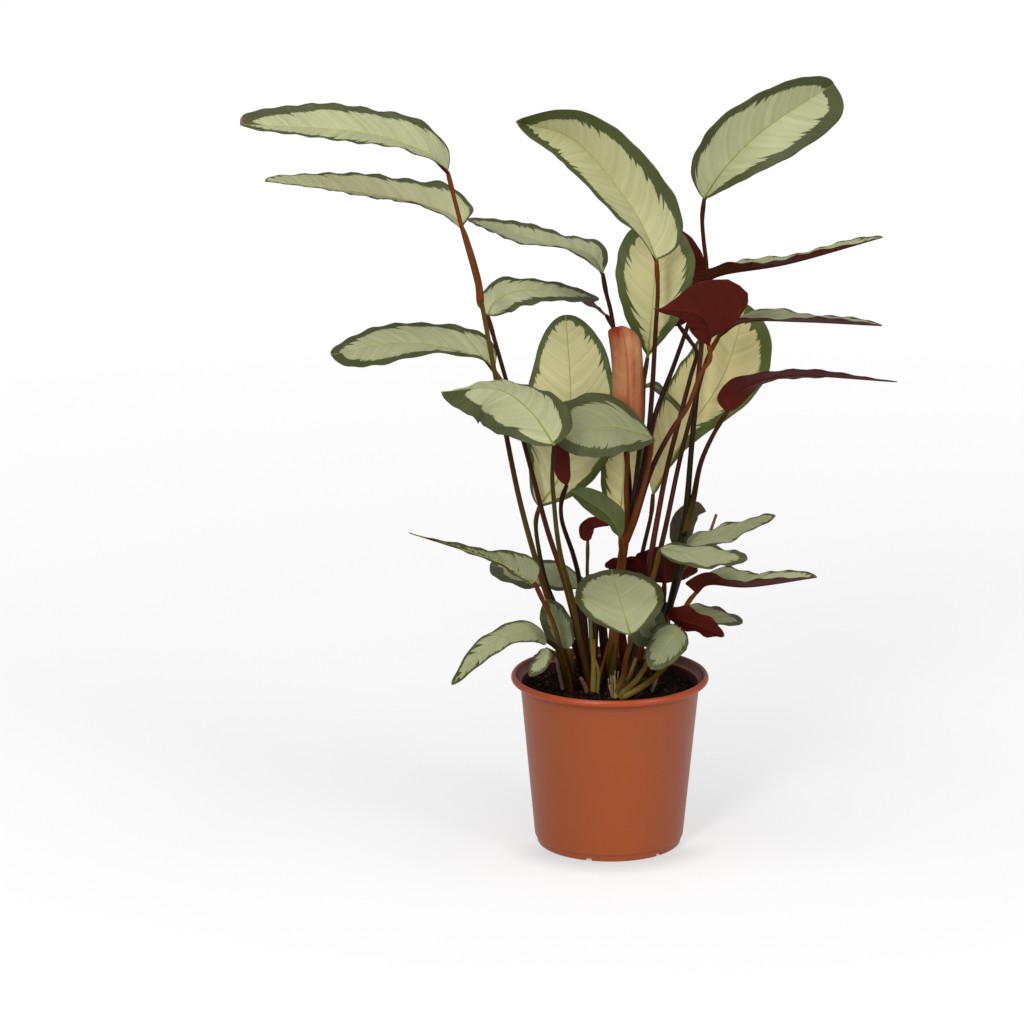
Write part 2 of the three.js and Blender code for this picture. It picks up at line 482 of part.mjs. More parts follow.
function breadth(share, [rise, fall]) {
  const peak = rise / (rise + fall);
  return (share ** rise * (1 - share) ** fall) / (peak ** rise * (1 - peak) ** fall);
}

function bladeGrid(leaf) {
  const { rib, face, width, steps, lobes = [0.42, 0.55], roll = [0, 0] } = leaf;
  const { fold = [[0, 0], [0, 0]], halves = [1, 1] } = leaf;
  const outlines = Array.isArray(lobes[0]) ? lobes : [lobes, lobes];
  const grid = [];
  for (let i = 0; i <= steps; i += 1) {
    const t = 0.5 - 0.5 * Math.cos((Math.PI * i) / steps);
    const middle = spline(rib, t);
    const along = spline(rib, Math.min(t + 0.02, 1)).sub(spline(rib, Math.max(t - 0.02, 0)));
    along.normalize();
    const facing = vector(face[0]).lerp(vector(face[1]), t);
    const side = along.clone().cross(facing).normalize();
    const up = side.clone().cross(along);
    for (let j = 0; j <= BLADE_COLUMNS; j += 1) {
      const s = (2 * j) / BLADE_COLUMNS - 1;
      const which = s < 0 ? 0 : 1;
      const broad = (width / 2) * halves[which] * breadth(t, outlines[which]);
      const reach = Math.abs(s) * Math.max(broad, SMALLEST_HALF_WIDTH);
      const lean = THREE.MathUtils.degToRad(THREE.MathUtils.lerp(...fold[which], t));
      const bend = THREE.MathUtils.degToRad(roll[which]) / (width / 2);
      let across = reach * Math.cos(lean);
      let lift = reach * Math.sin(lean);
      if (bend > 0) {
        across = (Math.sin(lean + bend * reach) - Math.sin(lean)) / bend;
        lift = (Math.cos(lean) - Math.cos(lean + bend * reach)) / bend;
      }
      const ripple = Math.sin(2 * Math.PI * RIPPLES * t + (s > 0 ? 1.7 : 0));
      lift += s * s * Math.sqrt(Math.sin(Math.PI * t)) * ripple;
      grid.push(middle.clone().addScaledVector(side, Math.sign(s) * across)
        .addScaledVector(up, lift));
    }
  }
  return grid;
}

function blade(leaf) {
  const { steps } = leaf;
  const columns = BLADE_COLUMNS;
  const grid = bladeGrid(leaf);
  const at = (i, j) => i * (columns + 1) + j;
  const count = grid.length;
  const places = [];
  for (const half of [BLADE_THICKNESS / 2, -BLADE_THICKNESS / 2]) {
    for (let i = 0; i <= steps; i += 1) {
      for (let j = 0; j <= columns; j += 1) {
        const along = grid[at(Math.min(i + 1, steps), j)].clone()
          .sub(grid[at(Math.max(i - 1, 0), j)]);
        const across = grid[at(i, Math.min(j + 1, columns))].clone()
          .sub(grid[at(i, Math.max(j - 1, 0))]);
        const normal = across.cross(along).normalize();
        places.push(...grid[at(i, j)].clone().addScaledVector(normal, half).toArray());
      }
    }
  }
  const faces = [];
  for (let i = 0; i < steps; i += 1) {
    for (let j = 0; j < columns; j += 1) {
      const [a, b, c, d] = [at(i, j), at(i + 1, j), at(i + 1, j + 1), at(i, j + 1)];
      faces.push(a, c, b, a, d, c);
      faces.push(count + a, count + b, count + c, count + a, count + c, count + d);
    }
  }
  const wall = (p, q) => faces.push(p, q, count + q, p, count + q, count + p);
  for (let i = 0; i < steps; i += 1) {
    wall(at(i, 0), at(i + 1, 0));
    wall(at(i + 1, columns), at(i, columns));
  }
  for (let j = 0; j < columns; j += 1) {
    wall(at(0, j + 1), at(0, j));
    wall(at(steps, j), at(steps, j + 1));
  }
  const geometry = new THREE.BufferGeometry();
  geometry.setAttribute("position", new THREE.Float32BufferAttribute(places, 3));
  geometry.setIndex(faces);
  geometry.computeVertexNormals();
  return geometry;
}

function shootSolid({ name, foot: [x, y], twigs }) {
  const radius = STUB_DIAMETER / 2;
  const height = STUB_TOP - STUB_BOTTOM;
  const stub = new THREE.CylinderGeometry(radius, radius, height, HOLE_SIDES);
  let solid = toSolid(standing(stub, x, y, STUB_BOTTOM + height / 2));
  for (const { radii, path } of twigs) {
    solid = solid.add(toSolid(tube(path, ...radii)));
  }
  const letter = name.at(-1);
  for (const { name: leafName, rib, stalk, thin = 1, neckGap = NECK_GAP } of leaves) {
    if (leafName.startsWith(`leaf_${letter}`)) {
      const neck = vector(rib[0]);
      const start = neck.lerp(vector(stalk[0]), neckGap / neck.distanceTo(vector(stalk[0])));
      const path = [start.toArray(), ...stalk];
      solid = solid.add(toSolid(tube(path, thin * STALK_TOP_RADIUS, thin * STALK_FOOT_RADIUS)));
    }
  }
  return solid;
}

const plant = new THREE.Group();

function addPart(name, geometry, color, roughness) {
  const material = new THREE.MeshStandardMaterial({ color, roughness, metalness: 0 });
  const mesh = new THREE.Mesh(geometry, material);
  mesh.name = name;
  plant.add(mesh);
}

addPart("pot", toGeometry(potSolid()), "#a95334", 0.4);
addPart("soil", toGeometry(soilSolid()), "#1a130e", 0.95);
for (const shoot of shoots) {
  addPart(shoot.name, toGeometry(shootSolid(shoot)), "#5f2a18", 0.5);
}
for (const leaf of leaves) {
  addPart(leaf.name, blade(leaf), leaf.colour ?? SILVER, 0.45);
}
for (const { name, foot, top, radius } of cutStalks) {
  const path = [top, [(top[0] + foot[0]) / 2, (top[1] + foot[1]) / 2, (top[2] + SOIL_LEVEL) / 2],
    [...foot, SOIL_LEVEL], [...foot, CUT_STALK_BOTTOM]];
  addPart(name, toGeometry(toSolid(tube(path, radius, radius))), "#a0705f", 0.6);
}

export default plant;
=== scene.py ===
"""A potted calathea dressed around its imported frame: pot, soil, shoots, leaves and stage.

Lengths in the tables below are millimetres in the frame's axes, and angles are degrees.
"""

import math
import random

import bpy
import numpy as np
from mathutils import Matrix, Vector, noise


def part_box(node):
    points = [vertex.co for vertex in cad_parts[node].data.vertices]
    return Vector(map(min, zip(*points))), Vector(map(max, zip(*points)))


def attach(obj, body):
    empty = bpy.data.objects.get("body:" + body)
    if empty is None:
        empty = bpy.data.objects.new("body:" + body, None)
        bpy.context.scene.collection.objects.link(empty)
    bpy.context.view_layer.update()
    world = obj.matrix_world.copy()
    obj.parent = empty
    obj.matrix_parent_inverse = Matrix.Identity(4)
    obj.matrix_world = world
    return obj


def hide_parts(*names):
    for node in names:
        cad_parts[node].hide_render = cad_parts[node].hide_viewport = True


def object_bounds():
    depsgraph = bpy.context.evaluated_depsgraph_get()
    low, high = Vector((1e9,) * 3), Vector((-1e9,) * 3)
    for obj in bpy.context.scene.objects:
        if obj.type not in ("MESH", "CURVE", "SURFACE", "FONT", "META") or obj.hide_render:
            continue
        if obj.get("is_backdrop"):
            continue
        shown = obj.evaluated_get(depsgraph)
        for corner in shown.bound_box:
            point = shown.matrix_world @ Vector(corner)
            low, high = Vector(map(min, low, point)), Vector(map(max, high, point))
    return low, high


bl_info = {
    "name": "Potted Calathea",
    "version": (1, 0, 0),
    "blender": (4, 5, 0),
    "location": "3D View > Sidebar > Calathea",
    "description": "Builds the looks of a potted calathea around its packed frame",
    "category": "Object",
}

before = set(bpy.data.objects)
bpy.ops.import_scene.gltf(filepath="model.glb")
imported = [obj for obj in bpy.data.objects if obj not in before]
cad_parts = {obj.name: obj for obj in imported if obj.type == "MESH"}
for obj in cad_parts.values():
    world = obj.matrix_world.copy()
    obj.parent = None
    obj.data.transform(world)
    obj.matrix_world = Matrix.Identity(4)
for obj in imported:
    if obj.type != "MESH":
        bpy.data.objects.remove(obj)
CAD_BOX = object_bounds()
BODY = "root"
MM = 0.001

# One row for each leaf. rib runs from neck to tip, and stalk on down from the neck. face is the way
# the upper side looks, at neck and tip where they differ. lobes set where each half is broadest,
# halves how broad it is, and fold and roll how much it lifts and curls; fold is also given as
# (neck, tip). tone paints light and shade into the leaf's colour, from painted shade, greyer (-1),
# to a painted lit-through look (1); margins scale the green edge of each half or of its neck and
# tip, dry is the dried share of the tip and of the edges, thin scales the stalk, and tints name
# its colours from its neck to its foot.
LEAVES = {
    "a1": dict(width=50, lobes=((0.5, 0.62), (0.28, 0.3)), halves=(0.75, 0.9),
        fold=((45, 6), (0, 4)), dry=(0.03, 0), margins=(0.4, 0.95),
        tints="rust rust olive mahogany olive sienna rust",
        rib=((-97, -24, 418), (-113, -30, 432), (-150, -38, 444), (-216, -50, 450)),
        face=((0.4, -0.55, 0.7), (0, -0.47, 0.88)),
        stalk=((-89, -25, 386), (-79, -26, 348), (-71, -26, 306), (-55, -16, 219), (-41, -7, 165),
            (-33, -1, 138), (-25, 3, 103), (-25, 2, 92))),
    "a2": dict(width=46, lobes=((0.4, 0.5), (0.4, 0.32)), halves=(1, 0.84),
        fold=((8, 6), (58, 13)), tone=0.1, margins=(0.3, (1.6, 0.1)), tints="rust rust",
        rib=((-89, 4, 380), (-100, 6, 389), (-137, 9, 398), (-206, 14, 406)), face=(0, 0, 1),
        stalk=((-84, -10, 369), (-79, -24, 351), (-78, -26, 341))),
    "b1": dict(width=38, lobes=((0.6, 0.45), (0.5, 0.5)), halves=(0.78, 0.8), margins=(0.8, 1.15),
        tints="mahogany umber mahogany crimson rust sienna",
        rib=((-74, 8, 326), (-68, 14, 334), (-49, 24, 338), (-7, 38, 330)),
        face=((-0.2, -0.7, 0.7), (0, -0.25, 0.97)),
        stalk=((-68, 6, 305), (-51, 4, 244), (-38, 6, 194), (-29, 7, 166), (-21, 8, 134),
            (-15, 8, 99), (-14, 8, 92))),
    "b2": dict(width=47, lobes=((2.2, 0.5), (0.36, 0.4)), halves=(0.88, 0.86),
        fold=((30, 0), (10, -8)), margins=(0.9, 0.75), tints="rust mahogany",
        rib=((-70, 0, 294), (-82, -6, 305), (-123, -14, 314), (-166, -26, 309)),
        face=((0.25, -0.5, 0.8), (0, -0.42, 0.9)),
        stalk=((-67, 1, 288), (-61, 4, 280), (-60, 4, 274))),
    "b3": dict(width=52, lobes=((0.6, 0.5), (0.9, 0.5)), halves=(1.08, 1.05), tone=0.6,
        margins=((0.9, 0.4), (1, 0.45)), tints="olive moss mahogany umber",
        rib=((-43, 12, 207), (-30, 16, 226), (-24, 18, 247), (-24, 22, 280), (-27, 38, 320)),
        face=(0, -1, 0.1),
        stalk=((-45, 12, 197), (-42, 11, 174), (-38, 10, 158), (-30, 9, 139), (-19, 8, 115),
            (-14, 8, 93))),
    "c1": dict(width=54, lobes=((0.6, 0.7), (0.6, 1.1)), halves=(1, 0.88), fold=(0, -30),
        dry=(0.04, 0), margins=((1.3, 1.3), (1.9, -0.6)), tints="umber olive olive mahogany",
        rib=((-35, -92, 270), (-49, -72, 286), (-69, -50, 294), (-101, -36, 289)),
        face=((0.3, -0.75, 0.55), (0, -0.42, 0.9)),
        stalk=((-36, -80, 249), (-35, -70, 232), (-33, -56, 209), (-30, -40, 188), (-24, -20, 161),
            (-18, -12, 130), (-12, -8, 101), (-11, -8, 92))),
    "c2": dict(shows="back", width=9, thin=0.8, tints="olive olive lime straw",
        rib=((-14, -12, 192), (-15, -13, 198), (-12, -15, 204), (0, -18, 204)), face=(0, 0.9, 0.2),
        stalk=((-14, -10, 183), (-14, -6, 169), (-12, -6, 141), (-11, -8, 104), (-11, -8, 92))),
    "c3": dict(width=44, lobes=((0.9, 0.32), (0.6, 0.5)), halves=(0.9, 0.92), tone=-0.35,
        margins=((0.2, 1.5), (0.6, 0.8)), tints="olive olive umber",
        rib=((-13, 30, 151), (-39, 36, 157), (-73, 36, 164)), face=(0, -0.22, 0.95),
        stalk=((-12, 22, 139), (-11, 8, 124), (-11, -4, 103), (-11, -7, 92))),
    "c4": dict(shows="back", width=10, lobes=(0.6, 0.55), tints="umber umber mahogany",
        rib=((-27, -38, 233), (-30, -36, 245), (-30, -34, 266)), face=(0, 1, 0),
        stalk=((-30, -38, 224), (-30, -36, 212), (-23, -28, 188), (-19, -18, 169), (-16, -12, 136),
            (-12, -8, 101), (-11, -8, 92))),
    "d1": dict(shows="rolled", width=42, lobes=((0.42, 0.7), (0.42, 0.35)), roll=(130, 130),
        tints="rust rust",
        rib=((10, -4, 245), (10, -6, 277), (9, -6, 302), (6, -4, 322)), face=(0, 1, 0.1),
        stalk=((9, -8, 222), (10, -11, 203), (8, -12, 192))),
    "d2": dict(width=55, lobes=((0.8, 0.75), (0.27, 0.48)), halves=(0.93, 0.92),
        fold=((55, 35), (0, 54)), tone=0.22, dry=(0.025, 0), margins=(0.65, 1.15),
        tints="rust mahogany mahogany umber umber",
        rib=((26, -6, 362), (12, 2, 391), (-22, 0, 432), (-57, -14, 446)),
        face=((0.35, -0.9, 0.3), (0.1, -0.98, 0.15)),
        stalk=((27, -4, 344), (26, -2, 319), (24, 2, 275), (22, 2, 251), (18, -4, 228),
            (14, -10, 211), (11, -12, 200))),
    "d3": dict(width=38, lobes=(0.9, 0.6), halves=(1, 0.9), fold=((14, 6), (12, 8)),
        margins=(0.45, 0.9), tints="mahogany mahogany umber",
        rib=((-5, 30, 347), (-14, 38, 358), (-42, 58, 361), (-86, 92, 369)),
        face=((0, 0.02, 1), (0, -0.1, 1)),
        stalk=((-3, 29, 336), (0, 28, 324), (6, 22, 283), (9, 14, 248), (11, 2, 214),
            (9, -9, 198))),
    "d4": dict(shows="back", width=16, lobes=(0.5, 0.55), tints="mahogany umber",
        rib=((-2, 60, 315), (-6, 70, 317), (-17, 95, 317)), face=(0.4, 0.6, 0.7),
        stalk=((3, 54, 307), (6, 40, 285), (8, 22, 266), (9, 15, 254))),
    "d5": dict(width=47, lobes=(1.1, 0.5), tone=0.7, tints="olive mahogany",
        rib=((22, 18, 298), (24, 14, 322), (26, 14, 352), (27, 28, 379)), face=(0, -1, 0.1),
        stalk=((20, 16, 285), (19, 12, 261), (16, 4, 232), (13, -4, 209), (9, -11, 195))),
    "d6": dict(width=28, tone=0.9, tints="olive rust",
        rib=((6, 14, 201), (8, 24, 221), (8, 30, 244), (6, 34, 265)), face=(0, -1, 0.1),
        stalk=((6, 6, 193), (7, -8, 187), (6, -11, 180))),
    "d7": dict(width=19, lobes=(0.7, 0.55), fold=(30, 14), tone=0.5, margins=(5, 5),
        tints="rust rust",
        rib=((5, -34, 200), (-3, -38, 215), (-25, -44, 231)), face=(0.51, -0.66, 0.55),
        stalk=((6, -24, 190), (6, -13, 177), (6, -11, 172))),
    "d8": dict(shows="back", width=48, lobes=((3, 2.5), (0.5, 0.9)), halves=(1.28, 0.5),
        fold=(5, 5), tints="sienna rust mahogany mahogany rust",
        rib=((57, -14, 313), (57, -20, 324), (48, -26, 334), (24, -26, 337)), face=(0, 0.9, 0.4),
        stalk=((58, -14, 304), (53, -14, 296), (45, -11, 274), (36, -10, 260), (24, -11, 236),
            (14, -12, 205), (9, -12, 192))),
    "d9": dict(shows="back", width=36, lobes=((0.5, 0.55), (0.5, 1.2)), fold=((22, 32), (6, 6)),
        dry=(0.02, 0), margins=(0.25, 1), tints="mahogany umber mahogany umber",
        rib=((51, 8, 342), (65, 6, 351), (105, 0, 359), (159, -12, 377)), face=(0, 0.34, 0.94),
        stalk=((48, 8, 328), (38, 8, 297), (27, 6, 267), (23, 2, 251), (16, -8, 213),
            (9, -11, 197))),
    "d10": dict(width=50, lobes=(0.6, 0.55), fold=((25, 0), (5, -10)), tone=-0.6,
        margins=(1.1, 1.2), tints="sienna rust rust",
        rib=((24, -22, 258), (-4, -38, 269), (-34, -64, 266)),
        face=((0, -0.5, 0.85), (0, -0.85, 0.5)),
        stalk=((22, -20, 241), (17, -17, 219), (12, -14, 202), (8, -13, 190))),
    "d11": dict(width=14, lobes=(0.6, 0.55), tone=-1, margins=(2.5, 2.5),
        rib=((13, 30, 275), (27, 28, 278), (44, 26, 262)), face=(0, -0.1, 1),
        stalk=((11, 27, 270), (9, 18, 259), (9, 15, 251))),
    "d12": dict(shows="back", width=22,
        rib=((18, 8, 165), (9, 4, 172), (-3, 0, 175)), face=(0, 0.7, 0.7),
        stalk=((12, 0, 158), (4, -7, 148))),
    "e1": dict(width=50, lobes=((0.6, 0.5), (0.75, 0.3)), halves=(0.97, 1),
        fold=((10, 50), (60, 0)), margins=(0.8, 1.15),
        tints="mahogany mahogany mahogany mahogany umber moss moss",
        rib=((55, 20, 394), (68, 18, 414), (92, 20, 437), (132, 34, 461)),
        face=(-0.15, -0.95, 0.25),
        stalk=((54, 21, 382), (55, 22, 369), (57, 22, 351), (56, 20, 327), (52, 8, 286),
            (48, -2, 246), (46, -1, 215), (44, 0, 192))),
    "e2": dict(shows="back", width=28, lobes=(0.6, 0.55), fold=(6, 6), dry=(0.03, 0),
        margins=(0.5, 1), tints="mahogany mahogany umber olive",
        rib=((69, -10, 271), (76, -14, 285), (105, -24, 296), (167, -40, 296)),
        face=((-0.1, 0.6, 0.8), (0, 0.3, 0.95)),
        stalk=((64, -9, 263), (54, -6, 240), (49, -2, 213), (44, 0, 194))),
    "e3": dict(width=30, halves=(0.85, 1), tone=-0.2, dry=(0.08, 0.35), margins=(0.35, 0.35),
        tints="sienna moss",
        rib=((46, 10, 185), (69, 6, 192), (99, -2, 205)), face=(0, -0.2, 0.97),
        stalk=((45, 7, 178), (40, 1, 164))),
    "e4": dict(shows="ageing", width=23, lobes=(0.6, 0.8), halves=(0.45, 0.85), tints="moss umber",
        rib=((45, 36, 172), (46, 34, 186), (51, 35, 197), (59, 37, 198)), face=(0, 1, 0.1),
        stalk=((45, 40, 161), (41, 36, 148), (36, 22, 138), (32, 7, 128))),
    "e5": dict(shows="back", width=42,
        rib=((34, 36, 153), (33, 26, 166), (32, 14, 182)), face=(0, 0.7, 0.6),
        stalk=((33, 22, 146), (32, 9, 137), (32, 6, 130))),
    "f1": dict(shows="back", width=34, lobes=(0.5, 0.55), fold=((12, 24), (6, 6)), dry=(0.02, 0),
        margins=(0.3, 1), tints="rust mahogany mahogany mahogany umber",
        rib=((65, 20, 311), (80, 14, 321), (112, 4, 323), (160, -8, 323)),
        face=((0, -0.05, 1), (0, 0.35, 0.96)),
        stalk=((58, 20, 297), (51, 15, 273), (42, 6, 240), (32, -4, 194), (21, -8, 148),
            (16, -11, 112), (16, -12, 92))),
    "f2": dict(shows="back", width=50, lobes=(0.6, 0.55), tints="mahogany mahogany crimson umber",
        rib=((42, 48, 311), (35, 48, 339), (30, 56, 372)), face=(0, 1, 0),
        stalk=((48, 40, 304), (52, 32, 298), (48, 24, 284), (34, 8, 232), (28, 0, 202),
            (24, -5, 178), (22, -8, 152))),
    "f3": dict(width=42, lobes=(0.5, 0.55), halves=(0.82, 1), tone=-0.2, margins=(0.8, 0.8),
        tints="olive amber mahogany",
        rib=((29, -30, 192), (55, -36, 189), (80, -44, 189)), face=(0, -0.1, 1),
        stalk=((27, -28, 183), (23, -22, 164), (20, -15, 138), (17, -11, 116))),
    "f4": dict(shows="back", width=35, fold=((30, 36), (24, 8)), dry=(0.04, 0), margins=(0.25, 1),
        tints="rust amber olive umber",
        rib=((51, -20, 162), (59, -22, 168), (83, -28, 168), (122, -36, 176)),
        face=(0, 0.25, 0.95),
        stalk=((47, -20, 157), (43, -18, 149), (37, -14, 136), (27, -12, 118), (18, -12, 101),
            (16, -12, 92))),
    "f5": dict(width=25, tone=-0.3, tints="amber sienna mahogany",
        rib=((46, -6, 149), (61, -12, 145), (79, -20, 143)), face=(0, -0.15, 1),
        stalk=((43, -10, 143), (37, -12, 133), (30, -13, 122))),
    "f6": dict(shows="back", width=27, fold=(8, 8), dry=(0.06, 0), tints="sienna rust umber",
        rib=((34, -32, 151), (48, -38, 148), (67, -46, 143)), face=(0, 0.75, 0.65),
        stalk=((32, -26, 142), (27, -18, 126), (21, -12, 108))),
    "g1": dict(width=52, lobes=((0.8, 0.62), (2.2, 0.7)), halves=(1.03, 0.94), tone=1,
        margins=(0.3, 1), tints="sienna mahogany mahogany amber umber",
        rib=((27, 48, 206), (48, 46, 246), (69, 44, 281), (83, 56, 323)), face=(0, -1, 0.1),
        stalk=((26, 47, 194), (20, 44, 166), (17, 34, 142), (14, 24, 120), (12, 16, 101),
            (12, 16, 92))),
    "h1": dict(width=53, lobes=(0.75, 0.55), tone=-0.25, margins=(0.7, 0.7),
        tints="olive rust straw",
        rib=((10, -80, 153), (5, -56, 166), (0, -22, 177)), face=(0.05, -0.6, 0.7),
        stalk=((10, -68, 143), (8, -50, 128), (7, -34, 112), (4, -25, 101), (4, -24, 92))),
    "h2": dict(width=22, tone=-0.9, margins=(2, 2), tints="olive straw",
        rib=((24, -42, 135), (22, -41, 146), (25, -32, 158)), face=(0, -0.9, 0.4),
        stalk=((22, -38, 125), (15, -30, 110), (6, -25, 100), (4, -24, 92))),
    "h3": dict(width=23, tone=-0.8, margins=(0.9, 0.8), tints="crimson rust olive straw",
        rib=((41, -44, 146), (33, -52, 140), (23, -60, 126)), face=(0, -0.8, 0.5),
        stalk=((44, -40, 140), (41, -36, 131), (32, -32, 119), (21, -28, 107), (7, -25, 98))),
    "i1": dict(width=38, lobes=((0.6, 1.8), (0.3, 1.15)), halves=(0.14, 0.64), tone=-0.6,
        margins=(0.35, 0.4), tints="crimson rust olive sienna umber",
        rib=((-46, -30, 171), (-59, -33, 180), (-77, -40, 190), (-120, -50, 207)),
        face=((0.1, -1, 0.3), (0, -0.15, 1)),
        stalk=((-41, -30, 160), (-35, -28, 146), (-30, -24, 127), (-25, -15, 104),
            (-24, -13, 92))),
    "i2": dict(width=27, lobes=((0.42, 0.55), (0.3, 0.5)), halves=(0.7, 0.66), tone=-0.3,
        margins=(0.35, 0.45), tints="moss olive umber",
        rib=((-39, -40, 138), (-50, -48, 146), (-72, -60, 142), (-95, -72, 120)),
        face=((0.3, -0.5, 0.8), (0, -0.3, 0.95)),
        stalk=((-34, -34, 133), (-29, -26, 123), (-26, -15, 104), (-24, -13, 92))),
    "i3": dict(width=19, tone=-0.9, margins=(1.9, 0.9), tints="olive moss umber",
        rib=((-26, -16, 126), (-33, -14, 142), (-38, -10, 155)), face=(0.2, -0.9, 0.3),
        stalk=((-23, -15, 115), (-24, -13, 100), (-24, -13, 92))),
    "i4": dict(width=11, thin=0.8, tone=-0.4, tints="olive umber",
        rib=((-39, -44, 134), (-42, -50, 128), (-49, -54, 120)), face=(-0.3, -0.9, 0.3),
        stalk=((-33, -36, 128), (-29, -26, 118), (-26, -16, 103), (-24, -13, 92))),
}

# Each shoot: where it stands, and its sheaths, twigs and husks as (radii, path, colours).
# The broad dark sheaths at the back stand for a dark mass that is partly more sheaths and partly
# shade among the stalks, so their dark colours are partly painted shade.
SHOOTS = {
    "a": dict(foot=(-25, 2)),
    "b": dict(foot=(-14, 8), twigs=(
        ((2.4, 3.4), ((-21, 12, 146), (-18, 11, 124), (-15, 9, 102), (-14, 9, 92)),
            "umber umber mahogany umber"),
        ((2.3, 3.2), ((-16, 16, 140), (-15, 14, 122), (-14, 10, 101), (-14, 8, 92)),
            "crimson umber umber"),)),
    "c": dict(foot=(-11, -8), twigs=(
        ((1.3, 2.2), ((-10, -13, 131), (-10, -12, 115), (-10, -10, 97), (-10, -9, 92)),
            "amber straw straw"),
        ((0.8, 1.5), ((-10, -13, 120), (-7, -12, 110), (-8, -9, 94)), "straw lime straw"),
        ((0.9, 2.0), ((-18, -13, 107), (-15, -11, 101), (-13, -9, 93)), "husk husk umber"),
        ((0.8, 1.3), ((-1, -14, 130), (-4, -13, 117), (-8, -10, 101), (-10, -9, 93)),
            "rust rust amber umber"),
        ((2.2, 3), ((-9, -3, 140), (-10, -5, 120), (-11, -7, 101), (-11, -8, 92)),
            "mahogany umber umber"))),
    "d": dict(foot=(2, 0), twigs=(
        ((2.4, 3.6), ((10, -10, 206), (8, -12, 189), (6, -11, 174), (4, -8, 154), (2, -4, 128),
            (1, 0, 101), (2, 0, 92)), "rust rust amber amber olive umber"),
        ((2.5, 3.5), ((-5, 6, 142), (-3, 5, 120), (1, 1, 101), (2, 0, 92)),
            "mahogany umber umber"))),
    "e": dict(foot=(28, 10), twigs=(
        ((2, 2.5), ((44, 1, 202), (42, 0, 186), (40, 0, 168), (37, 2, 151), (34, 4, 135),
            (31, 7, 115), (29, 10, 99), (28, 10, 92)), "moss moss moss umber"),
        ((0.9, 1.4), ((65, 29, 198), (60, 27, 184), (54, 14, 177), (42, 1, 170)),
            "husk amber moss"),
        ((2, 3), ((40, 8, 132), (35, 9, 116), (30, 10, 101), (28, 10, 92)),
            "rust rust mahogany umber"),
        ((2.4, 3.2), ((33, 16, 146), (31, 15, 122), (29, 11, 101), (28, 10, 92)),
            "umber umber umber"))),
    "f": dict(foot=(16, -12), twigs=(
        ((0.8, 1.1), ((42, -27, 128), (41, -24, 134), (36, -14, 134)), "moss umber umber"),)),
    "g": dict(foot=(12, 16), twigs=(
        ((2.6, 3.4), ((5, 18, 142), (8, 18, 120), (11, 16, 101), (12, 16, 92)),
            "umber crimson umber"),
        ((2.6, 3.4), ((21, 20, 138), (17, 19, 118), (13, 17, 101), (12, 16, 92)),
            "umber mahogany umber"),)),
    "h": dict(foot=(4, -24), straws=34, twigs=(
        ((0.6, 1.6), ((2, -27, 112), (3, -26, 103), (3, -25, 92)), "hay hay straw"),
        ((0.6, 1.5), ((7, -27, 109), (6, -26, 102), (5, -25, 92)), "hay straw straw"),
        ((0.6, 1.5), ((-1, -26, 106), (1, -25, 100), (3, -24, 92)), "hay straw umber"),
        ((0.6, 1.5), ((8, -22, 107), (6, -23, 101), (5, -24, 92)), "hay hay umber"),
        ((0.6, 1.4), ((3, -21, 108), (4, -22, 101), (4, -23, 92)), "straw hay umber"),
        ((1, 1.7), ((15, -29, 124), (12, -28, 114), (7, -26, 102), (5, -25, 93)),
            "lime lime olive straw"))),
    "i": dict(foot=(-24, -13)),
}

# The two cut stalks: name, foot in the soil and cut top.
CUT_STALKS = {
    "left": ((-28.5, -5), (-33, -9, 121)),
    "right": ((25.5, -6), (29, -8, 108)),
}
CUT_STALK_RADIUS = 1.1
CUT_STALK_BOTTOM = 84

STALK_COLOURS = {
    "mahogany": "#49230b",
    "umber": "#2e1407",
    "rust": "#834415",
    "sienna": "#854718",
    "crimson": "#6a2c16",
    "amber": "#a36a24",
    "olive": "#655517",
    "moss": "#28250c",
    "lime": "#9a9a45",
    "straw": "#b39c4c",
    "hay": "#cbb184",
    "husk": "#a0705c",
}


def linear(code):
    """A colour written as #rrggbb, as the linear values that Blender's colour properties hold."""
    shares = [int(code[i:i + 2], 16) / 255 for i in (1, 3, 5)]
    return tuple(s / 12.92 if s <= 0.04045 else ((s + 0.055) / 1.055) ** 2.4 for s in shares)


def length_setting(name, description, default):
    return bpy.props.FloatProperty(name=name, description=description, default=default,
                                   min=0, unit="LENGTH", precision=4)


def share_setting(name, description, default):
    return bpy.props.FloatProperty(name=name, description=description, default=default,
                                   min=0, max=1, subtype="FACTOR")


def colour_setting(name, description, code):
    return bpy.props.FloatVectorProperty(name=name, description=description, size=3, min=0, max=1,
                                         default=linear(code), subtype="COLOR")


def count_setting(name, description, default):
    return bpy.props.IntProperty(name=name, description=description, default=default, min=0)


POT_LOW, POT_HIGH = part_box("pot")


